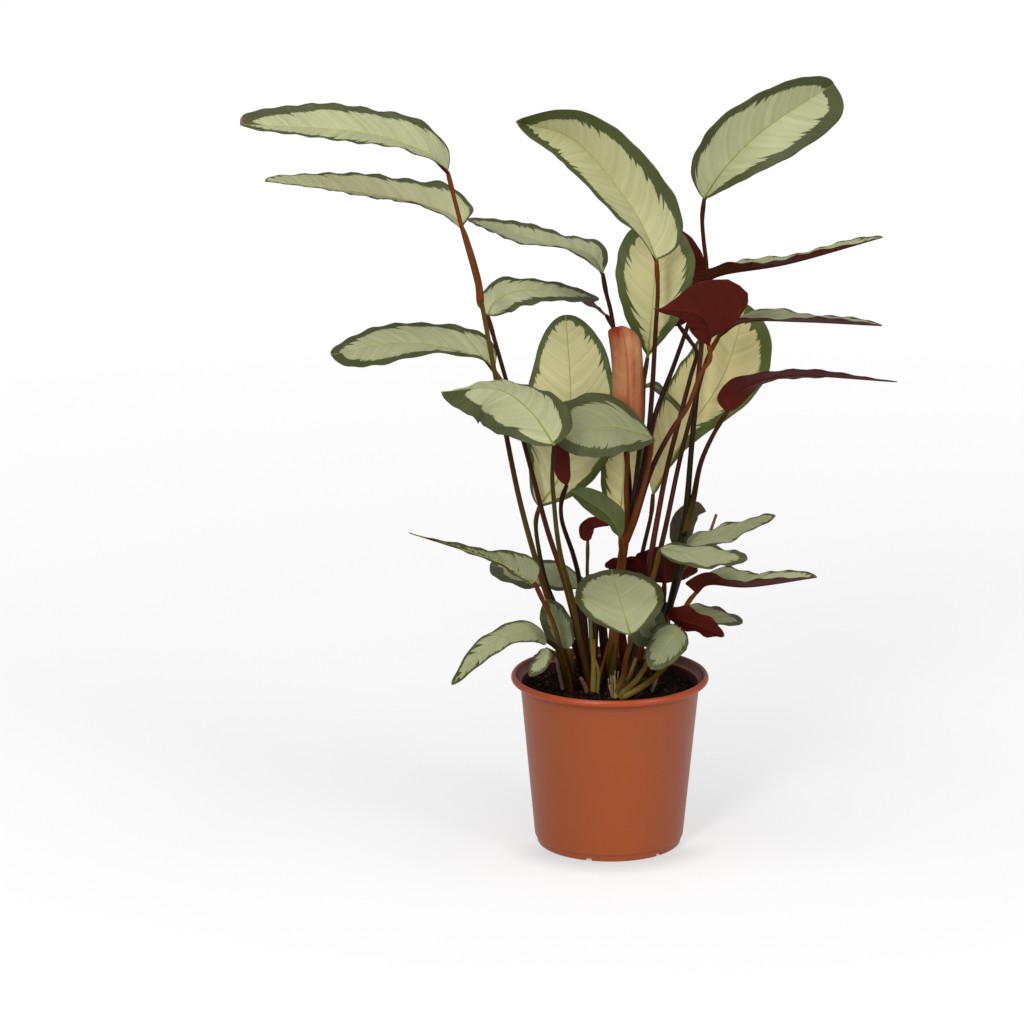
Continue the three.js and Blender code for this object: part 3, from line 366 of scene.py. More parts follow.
class PotSettings(bpy.types.PropertyGroup):
    rim_diameter: length_setting("Rim diameter", "Outside of the rolled rim",
                                 POT_HIGH.x - POT_LOW.x)
    height: length_setting("Height", "From the floor to the top of the rim", POT_HIGH.z)
    mouth_diameter: length_setting("Mouth diameter", "Inside of the rolled rim", 0.1135)
    rim_height: length_setting("Rim height", "Height of the rolled rim", 0.0046)
    wall_top_diameter: length_setting("Wall diameter at the rim", "Outside, under the rim", 0.109)
    base_diameter: length_setting("Wall diameter at the foot", "Outside, above the foot", 0.0906)
    wall: length_setting("Wall thickness", "Thickness of the side wall", 0.0016)
    foot_diameter: length_setting("Foot diameter", "The set-back ring on the floor", 0.088)
    foot_height: length_setting("Foot height", "Height of the set-back ring", 0.0044)
    colour: colour_setting("Plastic", "Terracotta-coloured plastic", "#ad5426")
    rim_colour: colour_setting("Rim", "Fresher colour of the rolled rim", "#b3491d")
    # Painted shade: the inside of the wall and the inner lip are coloured dark for the shade that
    # falls deep in the pot.
    inside_shade_colour: colour_setting("Inside", "Moist inside of the wall", "#280803")
    roughness: share_setting("Roughness", "Of the pot's satin plastic", 0.36)


class SoilSettings(bpy.types.PropertyGroup):
    level: length_setting("Level", "Height of the soil above the floor", 0.096)
    crumbs: count_setting("Crumbs", "Loose crumbs of peat on the surface", 2600)
    fibres: count_setting("Fibres", "Loose fibres on the surface", 110)
    colour: colour_setting("Peat", "Dark moist peat", "#1b1007")
    speck_colour: colour_setting("Specks", "Dry bark and fibre", "#5c4a2a")


class LeafSettings(bpy.types.PropertyGroup):
    thickness: length_setting("Thickness", "Of a blade between its veins", 0.0004)
    margin: share_setting("Margin", "Green margin as a share of the leaf's width", 0.1)
    silver: colour_setting("Silver", "Middle of the upper side", "#bfc096")
    silver_deep: colour_setting("Silver between veins", "Darker bands of the middle", "#979c6e")
    # Painted light and shade: the cream colours and the lit-through margin stand for light through
    # a thin leaf, and grey for the plant's own shade on a leaf.
    cream: colour_setting("Lit through", "Middle of a leaf with light behind it", "#dcd29b")
    cream_deep: colour_setting("Lit through, deep", "Darker bands of it", "#b5ab6c")
    grey: colour_setting("Turned away", "Middle of a leaf in the plant's own shade", "#757c58")
    green: colour_setting("Margin green", "Feathered margin", "#373d1a")
    # Painted sheen: lighter streaks on the green margin.
    green_sheen: colour_setting("Margin highlight", "Lighter streaks of the margin", "#62663c")
    green_lit_through: colour_setting("Margin lit through", "Margin with light behind it", "#4d5922")
    rib_colour: colour_setting("Midrib", "Midrib towards the tip", "#abad62")
    rib_deep: colour_setting("Midrib at the neck", "Midrib near the stalk", "#828828")
    burgundy: colour_setting("Burgundy", "Underside", "#662216")
    burgundy_deep: colour_setting("Burgundy between veins", "Darker bands below", "#451812")
    rolled: colour_setting("Rolled leaf", "Outside of the young rolled leaf", "#c08a5e")
    rolled_deep: colour_setting("Rolled leaf, deep", "Redder streaks of it", "#8f3520")
    ageing: colour_setting("Ageing leaf", "Underside of an ageing leaf", "#5e5441")
    ageing_deep: colour_setting("Ageing leaf, deep", "Darker bands of it", "#443c2c")
    dry: colour_setting("Dry tips", "Dried tips and edges", "#7a5a3c")
    roughness: share_setting("Roughness", "Of the satin upper side", 0.46)
    # Painted light: a lit-through leaf also glows with its own colour, by this share.
    lit_through: share_setting("Light through", "How much of it a thin leaf shows", 0.18)


class StalkSettings(bpy.types.PropertyGroup):
    top_radius: length_setting("Radius at the neck", "Of a leaf stalk below its blade", 0.0012)
    foot_radius: length_setting("Radius at the foot", "Of a leaf stalk in the soil", 0.0019)
    stub_radius: length_setting("Crown radius", "Of the crown that a shoot grows from", 0.0048)
    cut_colour: colour_setting("Cut stalk", "Dried skin of a cut stalk", "#c9a08c")
    roughness: share_setting("Roughness", "Of the smooth stalks", 0.42)


class StageSettings(bpy.types.PropertyGroup):
    floor_size: length_setting("Floor", "Side of the pale floor", 12.0)
    floor_colour: colour_setting("Floor colour", "Plain and pale", "#adadad")
    floor_glow: share_setting("Floor glow", "Keeps the floor as pale as the background", 0.61)
    floor_glow_far: share_setting("Far floor glow", "The same, away from the lamps", 0.88)
    contact: share_setting("Contact shade", "Dims the floor's glow close in front of the pot", 0.2)
    surround: share_setting("Surround", "Light from all around; the background stays white", 0.26)
    surround_shine: share_setting("Surround shine", "How much more shows in shiny skins", 0.22)
    eye: bpy.props.FloatVectorProperty(name="Eye", description="Where the camera stands",
                                       default=(-0.0594, -2.5, 0.8457), subtype="TRANSLATION",
                                       unit="LENGTH")
    pitch: bpy.props.FloatProperty(name="Pitch", description="How far the camera looks down",
                                   default=math.radians(14.335), subtype="ANGLE")
    lens: bpy.props.FloatProperty(name="Lens", description="Focal length on a 36 mm sensor",
                                  default=150.8, unit="CAMERA")


SETTINGS = {"calathea_pot": PotSettings, "calathea_soil": SoilSettings,
            "calathea_leaves": LeafSettings, "calathea_stalks": StalkSettings,
            "calathea_stage": StageSettings}


class Value:
    """A node's output that adds, multiplies and subtracts like a number."""

    def __init__(self, shader, socket):
        self.shader = shader
        self.socket = socket

    def maths(self, operation, *others):
        values = dict(enumerate((self, *others)))
        return self.shader.node("ShaderNodeMath", {"operation": operation}, values)

    def __add__(self, other):
        return self.maths("ADD", other)

    __radd__ = __add__

    def __mul__(self, other):
        return self.maths("MULTIPLY", other)

    __rmul__ = __mul__

    def __sub__(self, other):
        return self.maths("SUBTRACT", other)

    def __rsub__(self, other):
        return (self * -1) + other

    def __truediv__(self, other):
        return self.maths("DIVIDE", other)

    def __pow__(self, other):
        return self.maths("POWER", other)

    def floor(self):
        return self.maths("FLOOR")

    def clamped(self):
        return self.shader.step(self, 0, 1, "LINEAR")


class Shader:
    """A new material or world made of nodes. node() adds any node; the rest are its common uses."""

    def __init__(self, name, kind="materials"):
        self.owner = getattr(bpy.data, kind).new(name)
        self.owner.use_nodes = True
        self.tree = self.owner.node_tree
        self.tree.nodes.clear()

    def node(self, kind, settings=None, sockets=None, output=0):
        node = self.tree.nodes.new(kind)
        for name, value in (settings or {}).items():
            setattr(node, name, value)
        for name, value in (sockets or {}).items():
            socket = node.inputs[name]
            if isinstance(value, Value):
                self.tree.links.new(value.socket, socket)
            elif socket.type == "RGBA":
                socket.default_value = (*value, 1)
            else:
                socket.default_value = value
        return Value(self, node.outputs[output]) if node.outputs else None

    def attribute(self, name, output="Fac"):
        return self.node("ShaderNodeAttribute", {"attribute_name": name}, output=output)

    def stretched(self, place, stretch):
        return self.node("ShaderNodeVectorMath", {"operation": "MULTIPLY"}, {0: place, 1: stretch})

    def place(self, stretch=(1, 1, 1)):
        """Places on the object in metres, stretched for a pattern with a direction."""
        return self.stretched(self.node("ShaderNodeTexCoord", output="Object"), stretch)

    def reach(self, place):
        return self.node("ShaderNodeVectorMath", {"operation": "LENGTH"}, {0: place}, "Value")

    def axis(self, place, name):
        return self.node("ShaderNodeSeparateXYZ", {}, {0: place}, name)

    def light_path(self, name):
        return self.node("ShaderNodeLightPath", output=name)

    def noise(self, place, scale, detail=2.0, roughness=0.5):
        return self.node("ShaderNodeTexNoise", {}, {
            "Vector": place, "Scale": scale, "Detail": detail, "Roughness": roughness})

    def noise_along(self, value, scale, detail=1.0):
        return self.node("ShaderNodeTexNoise", {"noise_dimensions": "1D"}, {
            "W": value, "Scale": scale, "Detail": detail})

    def chance(self, value):
        """A random number from 0 to 1 that is the same for the same value."""
        return self.node("ShaderNodeTexWhiteNoise", {"noise_dimensions": "1D"}, {"W": value})

    def step(self, value, low, high, way="SMOOTHSTEP"):
        """0 below low and 1 above high, also where high is the smaller one."""
        return self.node("ShaderNodeMapRange", {"interpolation_type": way}, {
            "Value": value, "From Min": low, "From Max": high})

    def mix(self, share, first, second, way="MIX"):
        return self.node("ShaderNodeMix", {"data_type": "RGBA", "blend_type": way},
                         {0: share, 6: first, 7: second}, output=2)

    def surface(self, colour, roughness, relief, depth, constants):
        """Ends the material: relief from 0 to 1 stands up by depth metres."""
        bump = self.node("ShaderNodeBump", {}, {
            "Height": relief, "Distance": depth, "Strength": 1.0})
        shader = self.node("ShaderNodeBsdfPrincipled", {}, {
            "Base Color": colour, "Roughness": roughness, "Normal": bump, **constants})
        self.node("ShaderNodeOutputMaterial", {}, {"Surface": shader})
        return self.owner


SCUFF_COLOUR = linear("#7d3f28")
SCUFF_HEIGHTS = (0.012, 0.002)


def pot_material(settings):
    shader = Shader("terracotta plastic")
    place = shader.place()
    up = shader.axis(place, "Z")
    reach = shader.reach(shader.stretched(place, (1, 1, 0)))
    clouds = shader.noise(place, 22, 3)
    streaks = shader.noise(shader.place((260, 260, 7)), 1, 2)
    grain = shader.noise(place, 1500, 1)
    shoulder = settings.height - settings.rim_height

    deep = tuple(c * 0.86 for c in settings.colour)
    wall = shader.mix((clouds * 0.7 + streaks * 0.3).clamped(), deep, settings.colour)
    rim = shader.step(up, shoulder - 0.0008, shoulder + 0.0012)
    colour = shader.mix(rim, wall, settings.rim_colour)

    # Painted shade: the inside of the wall, and the inner lip below, take the dark inside colour.
    slope = (settings.wall_top_diameter - settings.base_diameter) / 2 / (
        shoulder - settings.foot_height)
    depth = (up - settings.foot_height) * slope - reach + settings.base_diameter / 2
    inside = shader.step(depth, 0.3 * settings.wall, 0.7 * settings.wall) * shader.step(
        up, settings.foot_height, settings.foot_height + 0.001)
    mouth = settings.mouth_diameter / 2
    lip = shader.step(reach, mouth + 0.0012, mouth) * shader.step(up, shoulder, shoulder + 0.0005)
    colour = shader.mix(inside.maths("MAXIMUM", lip * 0.8) * 0.95, colour, settings.inside_shade_colour)

    scuff = shader.step(shader.noise(shader.place((90, 90, 900)), 1, 3, 0.6), 0.66, 0.74)
    scuff = scuff * shader.step(up, *SCUFF_HEIGHTS)
    colour = shader.mix(scuff * 0.5, colour, SCUFF_COLOUR)
    roughness = (clouds * 0.12 + streaks * 0.06 + grain * 0.06) + (settings.roughness - 0.12)
    return shader.surface(colour, roughness + inside * 0.5, grain * 0.6 + streaks * 0.4, 0.00004,
                          {"Specular IOR Level": 0.4})


def soil_material(settings):
    shader = Shader("potting soil")
    place = shader.place()
    tone = shader.attribute("tone")
    grain = shader.noise(place, 1400, 3, 0.65)
    clumps = shader.noise(place, 260, 3, 0.6)
    speck = shader.step(shader.noise(place, 1900, 1), 0.62, 0.72)
    deep = tuple(c * 0.45 for c in settings.colour)
    colour = shader.mix(clumps, deep, settings.colour)
    colour = shader.mix((tone * 0.85 + speck * 0.25).clamped(), colour, settings.speck_colour)
    return shader.surface(colour, grain * 0.2 + 0.75, grain * 0.6 + clumps * 0.4, 0.0009,
                          {"Specular IOR Level": 0.08})


MARGIN_TEETH = ((5.3, 4.2), (2.3, 1.9), (0.9, 0.5))


def dried(shader, place):
    """1 where a leaf has dried, with a ragged border."""
    return shader.step(shader.attribute("dry") + shader.noise(place, 300, 2) * 0.5, 0.62, 0.82)


def feathered_margin(shader, place, vein):
    """1 in the green margin, whose teeth, as (spacing, reach), point in along the side veins."""
    drift = shader.noise_along(vein, 0.11, 1) * 5
    tooth = 0
    for spacing, reach in MARGIN_TEETH:
        phase = (vein + drift) / spacing
        cell = phase.floor()
        fall = 1 - (phase - cell)
        tooth = fall * fall * (shader.chance(cell + spacing) ** 1.6) * reach + tooth
    tooth = tooth * shader.step(shader.attribute("along"), 0.0, 0.25)
    wobble = shader.noise(place, 500, 2) * 0.8
    return shader.step(shader.attribute("edge") - tooth + wobble, 0.35, -0.15)


def leaf_face_material(settings):
    """The upper side: silver, with fine side veins and a green margin feathered along them."""
    shader = Shader("silver leaf face")
    place = shader.place()
    vein, rib, tone = (shader.attribute(name) for name in ("vein", "rib", "tone"))
    lit = shader.step(tone, 0, 1, "LINEAR")
    bands = shader.noise_along(vein, 0.21, 2)
    threads = shader.noise_along(vein, 1.5, 1)
    clouds = shader.noise(place, 45, 2)

    share = (bands * 0.75 + threads * 0.35 + clouds * 0.45 - 0.28).clamped()
    # Painted light and shade: tone turns the middle to the lit-through cream or to the shaded grey,
    # and the margin to its lit-through green.
    silver = shader.mix(lit, shader.mix(share, settings.silver_deep, settings.silver),
                        shader.mix(share, settings.cream_deep, settings.cream))
    silver = shader.mix(shader.step(tone, 0, -1, "LINEAR"), silver, settings.grey)
    # Painted sheen: lighter streaks of the margin.
    light = (threads * 0.5 + clouds * 0.7 - 0.2).clamped()
    margin = shader.mix(light * 0.7, settings.green, settings.green_sheen)
    margin = shader.mix(lit, margin, settings.green_lit_through)
    green = feathered_margin(shader, place, vein)
    colour = shader.mix(green, silver, margin)
    rib_colour = shader.mix(shader.step(shader.attribute("along"), 0.02, 0.4),
                            settings.rib_deep, settings.rib_colour)
    colour = shader.mix(shader.step(rib, 1.7, 0.8) * 0.9, colour, rib_colour)
    crisp = dried(shader, place)
    colour = shader.mix(crisp, colour, settings.dry)

    relief = threads * 0.35 + bands * 0.65 - shader.step(rib, 1.5, 0) * 0.2
    roughness = clouds * 0.12 + crisp * 0.2 - green * 0.05 + (settings.roughness - 0.05)
    # Painted light: a lit-through leaf glows with its own colour.
    return shader.surface(colour, roughness, relief, 0.0006, {
        "Specular IOR Level": 0.3, "Emission Color": shader.mix(lit, (0, 0, 0), colour),
        "Emission Strength": settings.lit_through})


def leaf_back_material(key, settings):
    """The underside: one colour, deeper between its side veins or, rolled, in streaks along it."""
    shader = Shader(key + " leaf back")
    place = shader.place()
    pale, deep = (tuple(getattr(settings, name)) for name in (key, key + "_deep"))
    vein = shader.attribute("vein")
    bands = shader.noise_along(vein, 0.25, 2)
    threads = shader.noise_along(vein, 1.4, 1)
    clouds = shader.noise(place, 50, 2)
    share = (bands * 0.6 + threads * 0.35 + clouds * 0.4 - 0.2).clamped()
    if key == "rolled":
        streaks = shader.noise(shader.place((330, 330, 14)), 1, 3)
        broad = shader.noise(shader.place((90, 90, 17)), 1, 1)
        share = broad * 3.2 + streaks * 0.9 + share * 0.3 - 1.6
        share = (share - shader.step(shader.attribute("along"), 0.75, 1.05) * 0.7).clamped()
    colour = shader.mix(share, deep, pale)
    rib_colour = tuple(0.8 * d + 0.2 * p for d, p in zip(deep, pale))
    colour = shader.mix(shader.step(shader.attribute("rib"), 1.2, 0.5) * 0.6, colour, rib_colour)
    colour = shader.mix(dried(shader, place), colour, settings.dry)
    edge = shader.step(shader.attribute("edge"), 0.5, -3)
    return shader.surface(colour, clouds * 0.1 + 0.46, threads * 0.4 + bands * 0.6 + edge * 0.1,
                          0.0003, {"Specular IOR Level": 0.06})


STALK_SHADE = (0.45, 0.4, 0.38)


def stalk_material(name, roughness):
    """Stalks, sheaths and dry ends: their own colours, with a fine lengthwise grain."""
    shader = Shader(name)
    tint = shader.attribute("tint", "Color")
    grain = shader.noise(shader.attribute("grain", "Vector"), 1, 2, 0.6)
    specks = shader.noise(shader.place(), 420, 2)
    dark = shader.mix(1.0, tint, STALK_SHADE, "MULTIPLY")
    colour = shader.mix((grain * 1.2 + specks * 0.5 - 0.45).clamped(), dark, tint)
    return shader.surface(colour, specks * 0.16 + (roughness - 0.08), grain, 0.00025,
                          {"Specular IOR Level": 0.12})


def make_mesh(name, points, faces, attributes=None, colours=None):
    """A smooth mesh from points in millimetres."""
    mesh = bpy.data.meshes.new(name)
    places = np.asarray(points, float) * MM
    mesh.from_pydata(places.tolist(), [], faces)
    mesh.polygons.foreach_set("use_smooth", [True] * len(mesh.polygons))
    for key, values in (attributes or {}).items():
        values = np.asarray(values, np.float32)
        kind, field = ("FLOAT_VECTOR", "vector") if values.ndim == 2 else ("FLOAT", "value")
        mesh.attributes.new(key, kind, "POINT").data.foreach_set(field, values.ravel())
    if colours is not None:
        rows = np.ones((len(places), 4), np.float32)
        rows[:, :3] = colours
        mesh.attributes.new("tint", "FLOAT_COLOR", "POINT").data.foreach_set("color", rows.ravel())
    mesh.update()
    return mesh


def add_object(name, data):
    item = bpy.data.objects.new(name, data)
    bpy.context.scene.collection.objects.link(item)
    return item


def add_piece(name, mesh, materials, slot, *nodes):
    """Puts a piece in the scene on the plant's one body, in place of its CAD nodes."""
    piece = add_object(name, mesh)
    for material in materials:
        mesh.materials.append(material)
    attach(piece, BODY)
    if nodes:
        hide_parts(*nodes)
    return piece


def spline(points, share, power=0.0):
    """A point on the smooth curve through points; power 0.5 keeps it tight on uneven points."""
    ends = [2 * points[0] - points[1], *points, 2 * points[-1] - points[-2]]
    scaled = min(share, 1 - 1e-9) * (len(points) - 1)
    i = int(scaled)
    u = scaled - i
    a, b, c, d = ends[i:i + 4]
    ab, bc, cd = (max((q - p).length, 1e-6) ** power for p, q in ((a, b), (b, c), (c, d)))
    start = ((b - a) / ab - (c - a) / (ab + bc) + (c - b) / bc) * bc
    end = ((c - b) / bc - (d - b) / (bc + cd) + (d - c) / cd) * bc
    return b + start * u + (3 * (c - b) - 2 * start - end) * u * u + (
        2 * (b - c) + start + end) * u ** 3


def lerp(first, second, share):
    """The value at a share of the way from first to second."""
    return first + (second - first) * share


def smooth(value, low, high):
    """0 below low and 1 above high, with an even rise between, also where high is smaller."""
    share = min(max((value - low) / (high - low), 0), 1)
    return share * share * (3 - 2 * share)


def both(value):
    """A tuple for each of two halves or ends, where a table may give one tuple for both."""
    return value if isinstance(value[0], tuple) else (value, value)


def turns(count):
    """The angles of places spread evenly around a circle."""
    return [2 * math.pi * i / count for i in range(count)]


# Leaf blades

CENTRE_COLUMNS = (0, 0.02, 0.045, 0.09, 0.16, 0.25, 0.35, 0.45, 0.55, 0.65, 0.74, 0.82, 0.89,
                  0.95, 1)
BLADE_ROW_SPACING = 1.8
BLADE_ROWS = (18, 64)
WAY_STEP = 0.02
PLAIN_LOBE = (0.42, 0.55)
NECK_HALF_WIDTH = 0.9
TIP_HALF_WIDTH = 0.25
# The outline's unevenness, as (share of the half width, waves, shift with the leaf's number).
UNEVEN = ((0.014, 19, 1), (0.011, 43, 2))
LEFT_HALF_SHIFT = 2.4
# Side veins leave the midrib aslant and curve to the tip, and differ between halves and leaves.
VEIN_SLANT = 0.5
VEIN_CURVE = 0.6
RIGHT_VEIN_SHIFT = 71.3
LEAF_VEIN_SHIFT = 13.7
# Relief of a blade whose half width is FULL_RELIEF or more.
FULL_RELIEF = 24
RIPPLES = 2.5
RIGHT_RIPPLE_SHIFT = 1.7
CREASE_DEPTH = 0.4
CREASE_REACH = 3
QUILT_SPACING = 10.5
QUILT_HEIGHT = 0.36
QUILT_SPREAD = 1.15
WAVE_SPACING = 17
WAVE_HEIGHT = 0.9


def breadth(share, rise, fall):
    """The outline's half width from neck to tip, 1 at its broadest."""
    peak = rise / (rise + fall)
    return (share ** rise * (1 - share) ** fall) / (peak ** rise * (1 - peak) ** fall)


def rib_line(row, rows):
    """Places, directions and lengths along a midrib, close together at both ends."""
    rib = [Vector(p) for p in row["rib"]]
    shares = [0.5 - 0.5 * math.cos(math.pi * i / rows) for i in range(rows + 1)]
    middles = [spline(rib, t) for t in shares]
    runs = [0.0]
    for first, second in zip(middles, middles[1:]):
        runs.append(runs[-1] + (second - first).length)
    ways = [(spline(rib, min(t + WAY_STEP, 1)) - spline(rib, max(t - WAY_STEP, 0))).normalized()
            for t in shares]
    return shares, middles, ways, runs


def blade_point(row, seed, t, s, run, half, frame_axes):
    """One spot of the blade's middle surface and its side vein."""
    middle, side, up = frame_axes
    right = s >= 0
    half_width = row["width"] / 2
    reach = abs(s) * half
    lean = math.radians(lerp(*both(row.get("fold", (0, 0)))[right], t))
    bend = math.radians(row.get("roll", (0, 0))[right]) / half_width
    if bend > 0:
        across = (math.sin(lean + bend * reach) - math.sin(lean)) / bend
        lift = (math.cos(lean) - math.cos(lean + bend * reach)) / bend
    else:
        across = reach * math.cos(lean)
        lift = reach * math.sin(lean)
    vein = run - VEIN_SLANT * reach - VEIN_CURVE * reach * reach / half_width
    vein += RIGHT_VEIN_SHIFT * right + LEAF_VEIN_SHIFT * seed
    fade = math.sqrt(max(math.sin(math.pi * t), 0))
    size = min(half_width / FULL_RELIEF, 1)
    lift += s * s * fade * math.sin(2 * math.pi * RIPPLES * t + RIGHT_RIPPLE_SHIFT * right)
    lift += size * CREASE_DEPTH * (1 - math.exp(-reach / CREASE_REACH)) * fade
    lift += size * QUILT_HEIGHT * fade * math.sin(2 * math.pi * vein / QUILT_SPACING) * math.sin(
        math.pi * min(abs(s) * QUILT_SPREAD, 1))
    lift += size * WAVE_HEIGHT * fade * abs(s) ** 4 * math.sin(2 * math.pi * vein / WAVE_SPACING)
    return middle + side * (across if right else -across) + up * lift, vein


def blade_surface(row, seed):
    """The blade's middle surface as grids of places, veins, reaches and half widths."""
    rib_length = sum((Vector(q) - Vector(p)).length for p, q in zip(row["rib"], row["rib"][1:]))
    rows = int(min(max(rib_length / BLADE_ROW_SPACING, BLADE_ROWS[0]), BLADE_ROWS[1]))
    shares, middles, ways, runs = rib_line(row, rows)
    columns = [-c for c in reversed(CENTRE_COLUMNS[1:])] + list(CENTRE_COLUMNS)
    lobes = both(row.get("lobes", PLAIN_LOBE))
    breadths = row.get("halves", (1, 1))
    first_face, last_face = (Vector(f) for f in both(row["face"]))
    places, veins, halves = [], [], []
    for t, middle, along, run in zip(shares, middles, ways, runs):
        side = along.cross(first_face.lerp(last_face, t)).normalized()
        up = side.cross(along)
        least = lerp(NECK_HALF_WIDTH, TIP_HALF_WIDTH, smooth(t, 0, 0.5))
        for s in columns:
            right = s >= 0
            plain = row["width"] / 2 * breadths[right] * breadth(t, *lobes[right])
            turn = seed + LEFT_HALF_SHIFT * (not right)
            uneven = 1 + sum(size * math.sin(waves * t + shift * turn)
                             for size, waves, shift in UNEVEN)
            half = max(plain * uneven, least)
            place, vein = blade_point(row, seed, t, s, run, half, (middle, side, up))
            places.append(place)
            veins.append(vein)
            halves.append(half)
    shape = (rows + 1, len(columns))
    return (np.array(places).reshape(*shape, 3), np.array(veins).reshape(shape),
            np.array(halves).reshape(shape), np.array(columns), np.array(shares), np.array(runs))


OUTLINE_STEPS = 6


def edge_distance(runs, columns, halves):
    """How far each spot of the flattened blade is from its outline."""
    across = columns[None, :] * halves
    along = np.repeat(runs[:, None], len(columns), axis=1)
    fine = np.linspace(0, len(runs) - 1, OUTLINE_STEPS * len(runs))
    level = np.arange(len(runs))
    outline_runs = np.interp(fine, level, runs)
    right = np.interp(fine, level, halves[:, -1])
    left = -np.interp(fine, level, halves[:, 0])
    outline = np.concatenate([np.stack([outline_runs, side], 1) for side in (right, left)])
    spots = np.stack([along.ravel(), across.ravel()], 1)
    gaps = np.linalg.norm(spots[:, None, :] - outline[None, :, :], axis=2).min(axis=1)
    return gaps.reshape(across.shape)


def blade_faces(rows, width):
    """The faces of a closed blade, and 0 for each that belongs to the upper side, 1 for others."""
    count = (rows + 1) * width
    faces, sorts = [], []

    def add(face, sort=1):
        faces.append(face)
        sorts.append(sort)

    for i in range(rows):
        for j in range(width - 1):
            a, b = i * width + j, (i + 1) * width + j
            add((a, a + 1, b + 1, b), 0)
            add((count + a, count + b, count + b + 1, count + a + 1))
        a, b = i * width, (i + 1) * width
        add((a, b, count + b, count + a))
        a, b = a + width - 1, b + width - 1
        add((b, a, count + a, count + b))
    last = rows * width
    for j in range(width - 1):
        add((j + 1, j, count + j, count + j + 1))
        add((last + j, last + j + 1, count + last + j + 1, count + last + j))
    return faces, sorts


EDGE_THINNING = 0.65
# The midrib's radius at the tip, what it gains towards the neck, and the width for its full size.
RIB_RADIUS = 0.35
RIB_GAIN = 0.75
RIB_TAPER = 1.6
RIB_FULL_WIDTH = 40
# How far it stands out below, spreads sideways, fades to the tip and shows above, in radii.
RIB_BULGE = 1.1
RIB_SPREAD = 0.9
RIB_FADE = 0.3
RIB_MASK = 0.55
# Narrowing of the green margin at the neck and widening at the tip, as shares.
LEAST_MARGIN = 0.4
NECK_MARGIN = 0.18
NECK_LENGTH = 0.22
TIP_START = 0.72
TIP_LENGTH = 0.25
TIP_MARGIN_GAIN = 0.45
DRY_EDGE_REACH = 1.6


def margin_widths(row, margin, columns, shares, runs):
    """How wide the green margin is in each row and half of the blade."""
    near_neck = np.clip(runs / (NECK_LENGTH * runs[-1]), 0, 1)
    near_tip = np.clip((shares - TIP_START) / TIP_LENGTH, 0, 1)
    width = (margin * row["width"] + LEAST_MARGIN) * (
        NECK_MARGIN + (1 - NECK_MARGIN) * near_neck) * (1 + TIP_MARGIN_GAIN * near_tip)
    scales = [np.interp(shares, (0, 1), m if isinstance(m, tuple) else (m, m))[:, None]
              for m in row.get("margins", (1, 1))]
    return width[:, None] * np.where(columns[None, :] < 0, *scales)


def blade_mesh(name, row, seed, settings):
    places, veins, halves, columns, shares, runs = blade_surface(row, seed)
    normals = np.cross(np.gradient(places, axis=1), np.gradient(places, axis=0))
    normals /= np.maximum(np.linalg.norm(normals, axis=2, keepdims=True), 1e-9)
    reach = np.abs(columns)[None, :] * halves
    thick = settings.thickness / MM / 2 * (1 - EDGE_THINNING * np.abs(columns) ** 6)[None, :, None]
    rib = (RIB_RADIUS + RIB_GAIN * (1 - shares) ** RIB_TAPER)[:, None] * min(
        row["width"] / RIB_FULL_WIDTH, 1)
    bulge = (RIB_BULGE * rib * np.exp(-(reach / (RIB_SPREAD * rib)) ** 2))[..., None]
    upper = places + normals * thick
    lower = places - normals * (thick + bulge * (1 - RIB_FADE * shares[:, None, None]))
    edge = edge_distance(runs, columns, halves)
    tip, sides = row.get("dry", (0, 0))
    to_tip = (runs[-1] - runs) / (tip * runs[-1] + 1e-6)
    dryness = np.clip(1 - to_tip, 0, 1)[:, None] * (tip > 0)
    fields = {
        "edge": edge - margin_widths(row, settings.margin, columns, shares, runs),
        "vein": veins, "rib": reach / (RIB_MASK * rib),
        "along": np.repeat(shares[:, None], len(columns), 1),
        # Painted light and shade: each leaf's tone, from shaded grey to lit through.
        "tone": np.full(edge.shape, row.get("tone", 0.0)),
        "dry": np.maximum(dryness, sides * np.exp(-edge / DRY_EDGE_REACH))}
    faces, sorts = blade_faces(len(runs) - 1, len(columns))
    mesh = make_mesh(name, np.concatenate([upper.reshape(-1, 3), lower.reshape(-1, 3)]), faces,
                     {key: np.tile(values.ravel(), 2) for key, values in fields.items()})
    mesh.polygons.foreach_set("material_index", sorts)
    return mesh


# Tubes: stalks, sheaths, husks and fibres

CURVE_STEPS = 240
CURVE_POWER = 0.5
TUBE_SIDES = 12
TUBE_SPACING = 2.5
LEAST_LENGTHS = 4
GRAIN_AROUND = 2.2
GRAIN_ALONG = 0.045


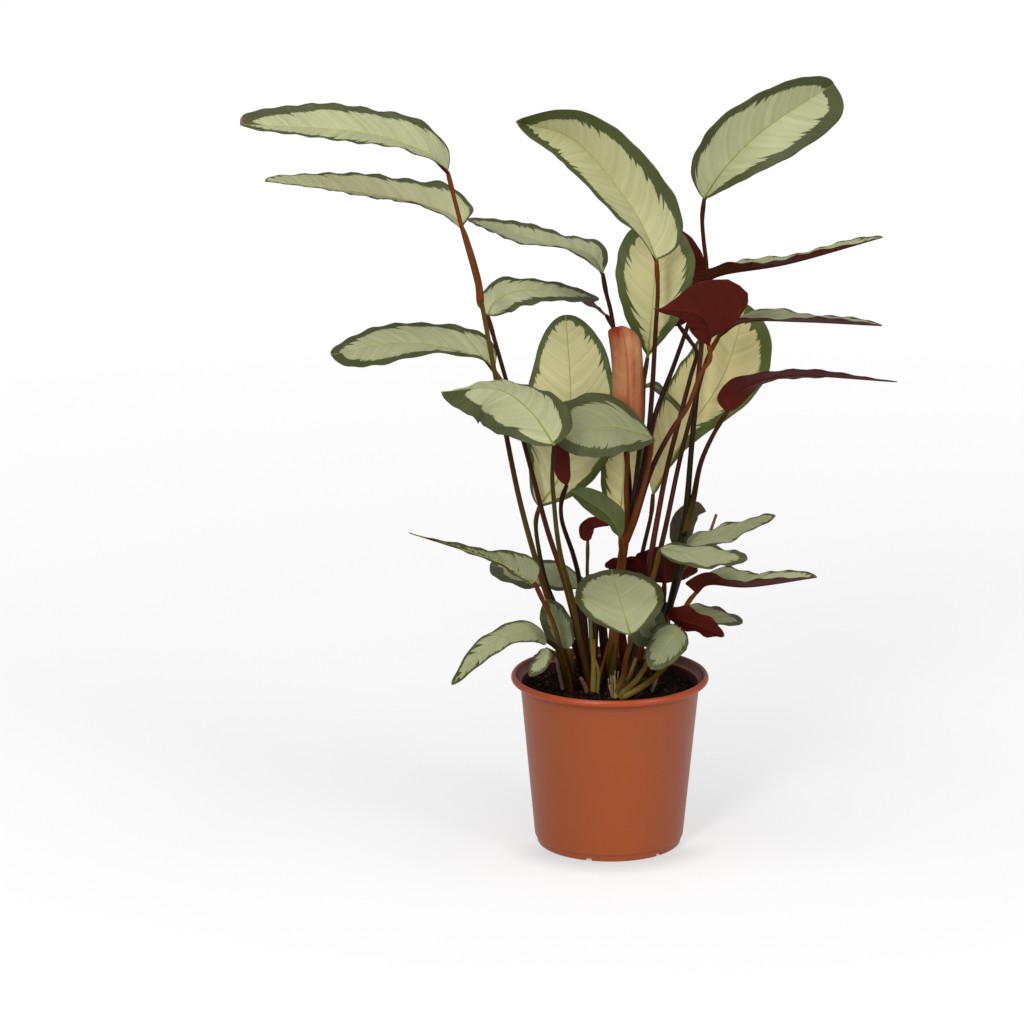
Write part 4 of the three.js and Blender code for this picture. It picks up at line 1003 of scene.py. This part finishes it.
def tube(path, radius_at, colour_at, spacing=TUBE_SPACING, sides=TUBE_SIDES):
    """A closed round tube along a path: its points, faces, colours and lengthwise grain."""
    points = [Vector(p) for p in path]
    fine = [spline(points, i / CURVE_STEPS, CURVE_POWER) for i in range(CURVE_STEPS + 1)]
    runs = np.concatenate([[0], np.cumsum([(b - a).length for a, b in zip(fine, fine[1:])])])
    count = max(int(runs[-1] / spacing), LEAST_LENGTHS)
    marks = np.interp(np.linspace(0, runs[-1], count + 1), runs, np.arange(len(fine)))
    middles = [fine[int(m)].lerp(fine[min(int(m) + 1, CURVE_STEPS)], m - int(m)) for m in marks]
    side = Vector((1, 0.2, 0.1))
    places, colours, grain, faces = [], [], [], []
    for k, middle in enumerate(middles):
        way = (middles[min(k + 1, count)] - middles[max(k - 1, 0)]).normalized()
        side = (side - way * side.dot(way)).normalized()
        other = way.cross(side)
        run = runs[-1] * k / count
        for turn in turns(sides):
            c, s = math.cos(turn), math.sin(turn)
            radius = radius_at(run, runs[-1], turn)
            places.append(middle + side * (radius * c) + other * (radius * s))
            colours.append(colour_at(run / runs[-1]))
            grain.append((GRAIN_AROUND * c, GRAIN_AROUND * s, GRAIN_ALONG * run))
    for k in range(count):
        for j in range(sides):
            a, b = k * sides + j, k * sides + (j + 1) % sides
            faces.append((a, b, b + sides, a + sides))
    faces.append(tuple(range(sides - 1, -1, -1)))
    faces.append(tuple(range(count * sides, (count + 1) * sides)))
    return places, faces, colours, grain


def joined(shapes):
    """Closed shapes as one: their places, their faces and what else they hold for each place."""
    places, faces, *rest = ([] for _ in shapes[0])
    for more_places, more_faces, *more in shapes:
        start = len(places)
        places += more_places
        faces += [tuple(start + i for i in face) for face in more_faces]
        for kept, values in zip(rest, more):
            kept += values
    return places, faces, *rest


def tube_mesh(name, tubes):
    places, faces, colours, grain = joined(tubes)
    return make_mesh(name, places, faces, {"grain": grain}, colours)


def colour_run(names):
    """The colour along a stalk whose colours are named from neck to foot."""
    stops = [np.array(linear(STALK_COLOURS[name])) for name in names.split()]

    def at(share):
        scaled = min(share, 1 - 1e-9) * (len(stops) - 1)
        i = int(scaled)
        return lerp(stops[i], stops[i + 1], scaled - i)

    return at


# The joint under a blade: how much it swells, and where it rises and falls along the stalk.
JOINT_SWELL = 0.22
JOINT_RISE = (1, 4)
JOINT_FALL = (9, 14)
SHEATH_LENGTH = 45
SHEATH_SPREAD = 0.25
PLAIN_TINTS = "rust mahogany mahogany umber"
STRAW_FOOT = 94
STRAW_TOPS = (103, 114)
STRAW_RADII = (0.22, 0.45)
STRAW_REACH = (1.5, 4)
STRAW_SPREAD = (0.2, 3.2)
STRAW_BEND = 0.6
STRAW_SIDES = 6
STRAW_TINTS = ("hay straw umber", "straw hay husk", "hay hay straw", "hay husk umber")
CROWN_HEIGHTS = (99.5, 98, 94, 88)
CROWN_SIDES = 20


def stalk_radius(top, foot):
    """A stalk that swells into a joint under its blade and broadens into its sheath below."""
    def at(run, length, turn):
        joint = smooth(run, *JOINT_RISE) * (1 - smooth(run, *JOINT_FALL))
        low = smooth(length - run, SHEATH_LENGTH, 0)
        return lerp(top, foot, run / length) * (1 + JOINT_SWELL * joint) * (
            1 + SHEATH_SPREAD * low * abs(math.cos(turn)))
    return at


def straw_tubes(letter, x, y, count):
    """Dry fibres that stand around a shoot's foot."""
    dice = random.Random(letter)
    tubes = []
    for _ in range(count):
        turn = dice.uniform(0, 2 * math.pi)
        reach, spread = dice.uniform(*STRAW_REACH), dice.uniform(*STRAW_SPREAD)
        low = (x + reach * math.cos(turn), y + reach * math.sin(turn), STRAW_FOOT)
        high = (x + (reach + spread) * math.cos(turn), y + (reach + spread) * math.sin(turn),
                dice.uniform(*STRAW_TOPS))
        middle = tuple((p + q) / 2 + dice.uniform(-STRAW_BEND, STRAW_BEND)
                       for p, q in zip(low, high))
        tints = colour_run(dice.choice(STRAW_TINTS))
        radius = dice.uniform(*STRAW_RADII)
        tubes.append(tube((high, middle, low), lambda *place: radius, tints, sides=STRAW_SIDES))
    return tubes


def shoot_tubes(letter, settings):
    """A shoot's sheaths and twigs, its leaves' stalks, its straw and the crown it grows from."""
    shoot = SHOOTS[letter]
    x, y = shoot["foot"]
    tubes = [tube(path, lambda run, length, turn: lerp(*radii, run / length), colour_run(tints))
             for radii, path, tints in shoot.get("twigs", ())]
    for name, row in LEAVES.items():
        if name[0] == letter:
            radii = [row.get("thin", 1) * radius / MM
                     for radius in (settings.top_radius, settings.foot_radius)]
            tubes.append(tube((row["rib"][0], *row["stalk"]), stalk_radius(*radii),
                              colour_run(row.get("tints", PLAIN_TINTS))))
    tubes += straw_tubes(letter, x, y, shoot.get("straws", 0))
    stub = settings.stub_radius / MM
    tubes.append(tube([(x, y, z) for z in CROWN_HEIGHTS], lambda run, length, turn: stub * (
        0.25 + 0.75 * smooth(run, 0, 3)) * (1 + 0.08 * math.sin(5 * turn)),
        colour_run("umber umber"), spacing=0.8, sides=CROWN_SIDES))
    return tubes


# Pot and soil

POT_SIDES = 180
DRAIN_HOLES = 6
DRAIN_HOLE_RADIUS = 3
DRAIN_HOLE_SIDES = 32
DRAIN_CIRCLE_RADIUS = 32
DRAIN_SLOTS = 6
DRAIN_SLOT = (8, 4, 3.2)
FIRST_SLOT_ANGLE = -47.5
FLOOR_TOP = 4.8
PAD_RADIUS = 22
UNDERSIDE_RECESS = 2.4
SHARP_ANGLE = 50


class PotShape:
    """The pot's sizes in millimetres, as its profile uses them."""

    def __init__(self, settings):
        self.rim = settings.rim_diameter / MM / 2
        self.mouth = settings.mouth_diameter / MM / 2
        self.top = settings.height / MM
        self.shoulder = self.top - settings.rim_height / MM
        self.wall = settings.wall / MM
        self.foot = settings.foot_diameter / MM / 2
        self.foot_top = settings.foot_height / MM
        self.base = settings.base_diameter / MM / 2
        self.wall_top = settings.wall_top_diameter / MM / 2

    def wall_radius(self, z):
        return lerp(self.base, self.wall_top, (z - self.foot_top) / (self.shoulder - self.foot_top))

    def profile(self):
        """Corners as (radius, height, rounding), from the middle of the underside to the floor."""
        inside = self.wall_radius(FLOOR_TOP + 2) - self.wall
        low, high = self.foot_top, self.shoulder
        return [
            (0, 0, 0), (PAD_RADIUS, 0, 0.4), (PAD_RADIUS + 1, UNDERSIDE_RECESS, 0.4),
            (self.foot - 3, UNDERSIDE_RECESS, 0.4), (self.foot - 2.4, 0, 0.4),
            (self.foot - 0.3, 0, 0.7), (self.foot + 0.3, low - 0.6, 0.2),
            (self.base - 0.3, low - 0.1, 0.2), (self.wall_radius(low + 0.6), low + 0.5, 0.3),
            (self.wall_radius(high), high + 0.2, 0.5), (self.rim - 1.2, high + 0.1, 0.9),
            (self.rim, high + 1.4, 1.1), (self.rim, self.top - 1.6, 1.1),
            (self.rim - 1.0, self.top - 0.1, 0.9), (self.mouth + 0.9, self.top, 0.7),
            (self.mouth, self.top - 1.3, 0.7), (self.mouth - 0.6, high + 2, 0.8),
            (self.wall_radius(high) - self.wall, high - 1.5, 1.5), (inside, FLOOR_TOP + 2, 1.5),
            (inside - 2, FLOOR_TOP, 1), (0, FLOOR_TOP, 0)]


def rounded(profile):
    """The profile with each corner turned into a short curve of its own rounding."""
    points = [Vector((r, z, 0)) for r, z, _ in profile]
    result = [points[0]]
    for i in range(1, len(points) - 1):
        before, corner, after = points[i - 1], points[i], points[i + 1]
        size = min(profile[i][2], 0.45 * (before - corner).length, 0.45 * (after - corner).length)
        first = corner + (before - corner).normalized() * size
        last = corner + (after - corner).normalized() * size
        for share in (0, 0.25, 0.5, 0.75, 1):
            result.append(first.lerp(corner, share).lerp(corner.lerp(last, share), share))
    result.append(points[-1])
    return [(p.x, p.y) for p in result]


def ring(reach, z, sides):
    """Places evenly spread on a level circle about the axis."""
    return [(reach * math.cos(turn), reach * math.sin(turn), z) for turn in turns(sides)]


def ring_faces(levels, sides):
    """The faces over two end places, low and high, and the rings that come after them."""
    faces = []
    last = 2 + (levels - 1) * sides
    for j in range(sides):
        k = (j + 1) % sides
        faces += [(0, 2 + k, 2 + j), (1, last + j, last + k)]
        for a in range(2, last, sides):
            faces.append((a + j, a + k, a + sides + k, a + sides + j))
    return faces


def lathe(profile, sides):
    """A solid of revolution; the profile starts and ends on the axis."""
    places = [(0, 0, profile[0][1]), (0, 0, profile[-1][1])]
    for radius, z in profile[1:-1]:
        places += ring(radius, z, sides)
    return places, ring_faces(len(profile) - 2, sides)


def block(size, reach, turn):
    """A box on a circle about the axis, for cutting."""
    corners = [(reach + x * size[0] / 2, y * size[1] / 2, z * size[2] / 2)
               for x in (-1, 1) for y in (-1, 1) for z in (-1, 1)]
    c, s = math.cos(turn), math.sin(turn)
    places = [(x * c - y * s, x * s + y * c, z) for x, y, z in corners]
    return places, [(0, 1, 3, 2), (4, 6, 7, 5), (0, 4, 5, 1), (2, 3, 7, 6), (0, 2, 6, 4),
                    (1, 5, 7, 3)]


def drill(radius, height, reach, turn):
    """A round bar on a circle about the axis, for cutting."""
    x, y = reach * math.cos(turn), reach * math.sin(turn)
    places, faces = lathe([(0, -height), (radius, -height), (radius, height), (0, height)],
                          DRAIN_HOLE_SIDES)
    return [(x + p[0], y + p[1], p[2]) for p in places], faces


def cut(piece, places, faces):
    """Takes the closed shapes out of a piece's mesh."""
    cutter = add_object("cutter", make_mesh("cutter", places, faces))
    step = piece.modifiers.new("cut", "BOOLEAN")
    step.object = cutter
    step.operation = "DIFFERENCE"
    step.solver = "EXACT"
    bpy.context.view_layer.update()
    shown = piece.evaluated_get(bpy.context.evaluated_depsgraph_get())
    mesh = bpy.data.meshes.new_from_object(shown)
    piece.modifiers.clear()
    piece.data = mesh
    bpy.data.objects.remove(cutter)


def add_pot(settings):
    shape = PotShape(settings)
    places, faces = lathe(rounded(shape.profile()), POT_SIDES)
    pot = add_piece("nursery_pot", make_mesh("nursery_pot", places, faces),
                    [pot_material(settings)], "pot_plastic", "pot")
    holes = [drill(DRAIN_HOLE_RADIUS, 2 * FLOOR_TOP, DRAIN_CIRCLE_RADIUS,
                   2 * math.pi * i / DRAIN_HOLES) for i in range(DRAIN_HOLES)]
    slots = [block(DRAIN_SLOT, shape.foot - 1.2,
                   math.radians(FIRST_SLOT_ANGLE + 360 * i / DRAIN_SLOTS))
             for i in range(DRAIN_SLOTS)]
    cut(pot, *joined(holes + slots))
    pot.data.set_sharp_from_angle(angle=math.radians(SHARP_ANGLE))


SOIL_RINGS = 46
SOIL_SPOKES = 150
SOIL_BOTTOM = 5.1
SOIL_CLEARANCE = 0.3
# The soil's broad waves and its lumps, as (height, pace), and its fall towards the wall.
SOIL_WAVES = (1.1, 0.05)
SOIL_LUMPS = (1.3, 0.22)
SOIL_FALL = 1.2
SOIL_FALL_REACH = (44, 53)


def soil_height(x, y, level):
    """The lumpy surface of the soil, lowest at the pot's wall."""
    broad = SOIL_WAVES[0] * noise.noise(Vector((x, y, 0)) * SOIL_WAVES[1])
    lumps = SOIL_LUMPS[0] * noise.fractal(Vector((x, y, 7)) * SOIL_LUMPS[1], 1.0, 2.0, 3)
    return level + broad + lumps - SOIL_FALL * smooth(math.hypot(x, y), *SOIL_FALL_REACH)


def add_soil(settings, pot_settings):
    shape = PotShape(pot_settings)
    level = settings.level / MM
    radius = shape.wall_radius(level - 2) - shape.wall - SOIL_CLEARANCE / 2
    low = shape.wall_radius(SOIL_BOTTOM + 2) - shape.wall - SOIL_CLEARANCE - 2
    places = [(0, 0, SOIL_BOTTOM), (0, 0, soil_height(0, 0, level))]
    below = ((low, SOIL_BOTTOM), (low + 1.9, SOIL_BOTTOM + 2), (radius - 0.2, level - 6))
    for reach, z in below:
        places += ring(reach, z, SOIL_SPOKES)
    for i in range(SOIL_RINGS, 0, -1):
        places += [(x, y, soil_height(x, y, level))
                   for x, y, _ in ring(radius * (i / SOIL_RINGS), 0, SOIL_SPOKES)]
    tone = [max(0.0, 0.5 * noise.noise(Vector(p) * 0.6)) for p in places]
    mesh = make_mesh("soil_bed", places, ring_faces(len(below) + SOIL_RINGS, SOIL_SPOKES),
                     {"tone": tone})
    material = soil_material(settings)
    add_piece("soil_bed", mesh, [material], "potting_soil", "soil")
    add_crumbs(settings, level, radius, material)


def scattered(dice, radius):
    """A spot on the soil, evenly spread."""
    reach = radius * math.sqrt(dice.random())
    turn = dice.uniform(0, 2 * math.pi)
    return reach * math.cos(turn), reach * math.sin(turn)


def crumb(dice, x, y, z, size, sides=7, levels=4):
    """A lump of peat: a rough ball pressed into the surface."""
    places, faces = [], []
    squeeze = (dice.uniform(0.75, 1.3), dice.uniform(0.75, 1.3), dice.uniform(0.6, 1.0))
    for i in range(levels + 1):
        tilt = math.pi * i / levels
        for j in range(1 if i in (0, levels) else sides):
            turn = 2 * math.pi * (j + 0.5 * i) / sides
            r = size * dice.uniform(0.8, 1.2)
            places.append((x + r * squeeze[0] * math.sin(tilt) * math.cos(turn),
                           y + r * squeeze[1] * math.sin(tilt) * math.sin(turn),
                           z + r * squeeze[2] * math.cos(tilt)))
    last = len(places) - 1
    for j in range(sides):
        k = (j + 1) % sides
        faces.append((0, 1 + j, 1 + k))
        faces.append((last, last - sides + k, last - sides + j))
        for i in range(levels - 2):
            a = 1 + i * sides
            faces.append((a + j, a + sides + j, a + sides + k, a + k))
    return places, faces


CRUMB_SEED = 5
LARGEST_CRUMB = 1.5
DARK_CRUMBS = 0.72
FIBRE_REACH = (1.5, 4.5)
FIBRE_RADII = (0.09, 0.2)
FIBRE_SIDES = 5


def add_crumbs(settings, level, radius, material):
    dice = random.Random(CRUMB_SEED)
    shapes = []
    for _ in range(settings.crumbs):
        x, y = scattered(dice, radius - 1.5)
        size = min(0.28 + dice.expovariate(3), LARGEST_CRUMB)
        places, faces = crumb(dice, x, y, soil_height(x, y, level) + 0.25 * size, size)
        tone = 0
        if dice.random() >= DARK_CRUMBS:
            tone = dice.uniform(0.1, 0.9) if size < 1.4 else 0.15
        shapes.append((places, faces, [tone] * len(places)))
    for _ in range(settings.fibres):
        x, y = scattered(dice, radius - 4)
        turn = dice.uniform(0, math.pi)
        reach = dice.uniform(*FIBRE_REACH)
        across, back = reach * math.cos(turn), reach * math.sin(turn)
        z = soil_height(x, y, level) + 0.6
        path = [(x - across, y - back, z - 0.4),
                (x + dice.uniform(-0.6, 0.6), y + dice.uniform(-0.6, 0.6), z + 0.3),
                (x + across, y + back, z - 0.4)]
        size = dice.uniform(*FIBRE_RADII)
        places, faces, *_ = tube(path, lambda *place: size, lambda share: 0, spacing=1,
                                 sides=FIBRE_SIDES)
        shapes.append((places, faces, [dice.uniform(0.3, 1)] * len(places)))
    places, faces, tones = joined(shapes)
    add_piece("soil_crumbs", make_mesh("soil_crumbs", places, faces, {"tone": tones}), [material],
              "potting_soil")


# Operators

# For each side that a leaf can show: its material slot and its underside's colours.
LEAF_SIDES = {"face": ("leaf_silver", "burgundy"), "back": ("leaf_burgundy", "burgundy"),
              "rolled": ("leaf_rolled", "rolled"), "ageing": ("leaf_dry", "ageing")}
CUT_STALK_ROUGHNESS = 0.6


class CALATHEA_OT_pot(bpy.types.Operator):
    """Build the nursery pot with its rolled rim, foot, drain holes and slots"""
    bl_idname = "calathea.pot"
    bl_label = "Pot"

    def execute(self, context):
        add_pot(context.scene.calathea_pot)
        return {"FINISHED"}


class CALATHEA_OT_soil(bpy.types.Operator):
    """Build the soil with its loose crumbs and fibres"""
    bl_idname = "calathea.soil"
    bl_label = "Soil"

    def execute(self, context):
        add_soil(context.scene.calathea_soil, context.scene.calathea_pot)
        return {"FINISHED"}


class CALATHEA_OT_shoots(bpy.types.Operator):
    """Build the shoots: leaf stalks, sheaths, husks and crowns"""
    bl_idname = "calathea.shoots"
    bl_label = "Shoots"

    def execute(self, context):
        settings = context.scene.calathea_stalks
        material = stalk_material("stalk skin", settings.roughness)
        for letter in SHOOTS:
            name = "stalks_" + letter
            add_piece(name, tube_mesh(name, shoot_tubes(letter, settings)), [material], "stalk",
                      "shoot_" + letter)
        return {"FINISHED"}


class CALATHEA_OT_cut_stalks(bpy.types.Operator):
    """Build the two cut stalks that stand in the soil"""
    bl_idname = "calathea.cut_stalks"
    bl_label = "Cut stalks"

    def execute(self, context):
        settings = context.scene.calathea_stalks
        soil = context.scene.calathea_soil.level / MM
        material = stalk_material("dried stalk skin", CUT_STALK_ROUGHNESS)
        pale = np.array(settings.cut_colour)

        def radius_at(run, length, turn):
            return CUT_STALK_RADIUS * (0.7 + 0.3 * smooth(run, 0, 0.8)) * (
                1 + 0.08 * math.sin(3 * turn + run))

        def colour_at(share):
            return pale * (0.55 + 0.45 * smooth(share, 0, 0.06)) * (1 - 0.4 * share)

        for side, ((x, y), top) in CUT_STALKS.items():
            low = (x, y, soil)
            path = (top, (Vector(top) + Vector(low)) / 2, low, (x, y, CUT_STALK_BOTTOM))
            name = "cut_end_" + side
            mesh = tube_mesh(name, [tube(path, radius_at, colour_at, spacing=0.6)])
            add_piece(name, mesh, [material], "cut_stalk", "cut_stalk_" + side)
        return {"FINISHED"}


class CALATHEA_OT_leaves(bpy.types.Operator):
    """Build the leaf blades with their silver upper sides and coloured undersides"""
    bl_idname = "calathea.leaves"
    bl_label = "Leaves"

    def execute(self, context):
        settings = context.scene.calathea_leaves
        face = leaf_face_material(settings)
        backs = {key: leaf_back_material(key, settings) for key in ("burgundy", "rolled", "ageing")}
        for seed, (name, row) in enumerate(LEAVES.items()):
            slot, back = LEAF_SIDES[row.get("shows", "face")]
            mesh = blade_mesh("blade_" + name, row, seed, settings)
            add_piece("blade_" + name, mesh, [face, backs[back]], slot, "leaf_" + name)
        return {"FINISHED"}


FLOOR_SHADE = (0.7, 0.7, 0.7)
FLOOR_GLOW_REACH = (0.25, 2.0)
CONTACT_REACH = (0.075, 0.045)
CONTACT_SIDE = (0.0, -0.035)
# The floor's glow in the light it gives to other things, and in shiny skins.
GLOW_GIVEN = (0.08, 0.08, 0.08)
GLOW_IN_SHINE = (0.35, 0.35, 0.35)
# Each lamp: where it stands, its width and height, and its power in watts.
LAMPS = {
    "top": ((-0.1, -0.5, 2.1), (1.3, 1.3), 15),
    "key": ((-0.85, -2.1, 1.35), (0.45, 1.5), 30),
    "fill": ((1.7, -1.5, 1.1), (0.8, 1.4), 17),
}
LAMP_AIM = (0, 0, 0.22)
SENSOR_WIDTH = 36
CAMERA_RANGE = 50


def add_floor(settings):
    """The pale floor, which glows enough to pass into the white background."""
    shader = Shader("pale floor")
    place = shader.place()
    reach = shader.reach(place)
    tone = shader.noise(place, 3, 2) * 0.02 + 0.98
    colour = shader.mix(tone, FLOOR_SHADE, settings.floor_colour)
    glow = shader.mix(shader.step(reach, *FLOOR_GLOW_REACH, "LINEAR"),
                      (settings.floor_glow,) * 3, (settings.floor_glow_far,) * 3)
    contact = shader.step(reach, *CONTACT_REACH) * shader.step(shader.axis(place, "Y"),
                                                              *CONTACT_SIDE)
    glow = shader.mix(contact, glow, (settings.floor_glow - settings.contact,) * 3)
    glow = shader.mix(shader.light_path("Is Camera Ray"), GLOW_GIVEN, glow)
    glow = shader.mix(shader.light_path("Is Glossy Ray"), glow, GLOW_IN_SHINE)
    material = shader.surface(colour, 0.85, tone, 0.0001, {
        "Specular IOR Level": 0.0, "Emission Color": glow, "Emission Strength": 1.0})
    half = settings.floor_size / MM / 2
    mesh = make_mesh("floor", [(-half, -half, 0), (half, -half, 0), (half, half, 0),
                               (-half, half, 0)], [(0, 1, 2, 3)])
    mesh.materials.append(material)
    add_object("floor", mesh)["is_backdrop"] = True


def add_surround(settings):
    """White light from all around, weaker than the white background that the camera sees."""
    shader = Shader("studio", "worlds")
    seen = shader.light_path("Is Glossy Ray") * settings.surround_shine + shader.light_path(
        "Is Camera Ray")
    strength = shader.node("ShaderNodeMapRange", {}, {"Value": seen, "To Min": settings.surround})
    light = shader.node("ShaderNodeBackground", {}, {"Color": (1, 1, 1), "Strength": strength})
    shader.node("ShaderNodeOutputWorld", {}, {"Surface": light})
    bpy.context.scene.world = shader.owner


def add_lamp(name, place, size, power):
    light = bpy.data.lights.new(name, "AREA")
    light.shape = "RECTANGLE"
    light.size, light.size_y = size
    light.energy = power
    lamp = add_object(name, light)
    lamp.location = place
    lamp.rotation_euler = (Vector(LAMP_AIM) - Vector(place)).to_track_quat("-Z", "Y").to_euler()


def add_camera(settings):
    lens = bpy.data.cameras.new("camera")
    lens.sensor_width = SENSOR_WIDTH
    lens.lens = settings.lens
    lens.clip_end = CAMERA_RANGE
    camera = add_object("camera", lens)
    camera.location = settings.eye
    camera.rotation_euler = (math.radians(90) - settings.pitch, 0, 0)
    bpy.context.scene.camera = camera
    bpy.context.scene.view_settings.view_transform = "Standard"


class CALATHEA_OT_stage(bpy.types.Operator):
    """Set out the pale floor, the soft studio light and the camera"""
    bl_idname = "calathea.stage"
    bl_label = "Stage"

    def execute(self, context):
        settings = context.scene.calathea_stage
        add_floor(settings)
        add_surround(settings)
        for name, row in LAMPS.items():
            add_lamp(name, *row)
        add_camera(settings)
        return {"FINISHED"}


class CALATHEA_PT_build(bpy.types.Panel):
    """Sizes and colours of the potted calathea, and the buttons that build it"""
    bl_label = "Potted Calathea"
    bl_idname = "CALATHEA_PT_build"
    bl_space_type = "VIEW_3D"
    bl_region_type = "UI"
    bl_category = "Calathea"

    def draw(self, context):
        for key, operator in (("calathea_pot", CALATHEA_OT_pot),
                              ("calathea_soil", CALATHEA_OT_soil),
                              ("calathea_stalks", CALATHEA_OT_shoots),
                              ("calathea_stalks", CALATHEA_OT_cut_stalks),
                              ("calathea_leaves", CALATHEA_OT_leaves),
                              ("calathea_stage", CALATHEA_OT_stage)):
            box = self.layout.box()
            box.operator(operator.bl_idname)
            if operator is not CALATHEA_OT_cut_stalks:
                for name in SETTINGS[key].__annotations__:
                    box.prop(getattr(context.scene, key), name)


CLASSES = (*SETTINGS.values(), CALATHEA_OT_stage, CALATHEA_OT_pot, CALATHEA_OT_soil,
           CALATHEA_OT_shoots, CALATHEA_OT_cut_stalks, CALATHEA_OT_leaves, CALATHEA_PT_build)


def register():
    for item in CLASSES:
        bpy.utils.register_class(item)
    for key, group in SETTINGS.items():
        setattr(bpy.types.Scene, key, bpy.props.PointerProperty(type=group))


def unregister():
    for key in SETTINGS:
        delattr(bpy.types.Scene, key)
    for item in reversed(CLASSES):
        bpy.utils.unregister_class(item)


def plain(bounds):
    return [[float(v) for v in corner] for corner in bounds]


def main():
    register()
    bpy.ops.calathea.stage()
    bpy.ops.calathea.pot()
    bpy.ops.calathea.soil()
    bpy.ops.calathea.shoots()
    bpy.ops.calathea.cut_stalks()
    bpy.ops.calathea.leaves()
    {"cad": plain(CAD_BOX), "visual": plain(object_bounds())}


if __name__ == "__main__":
    main()
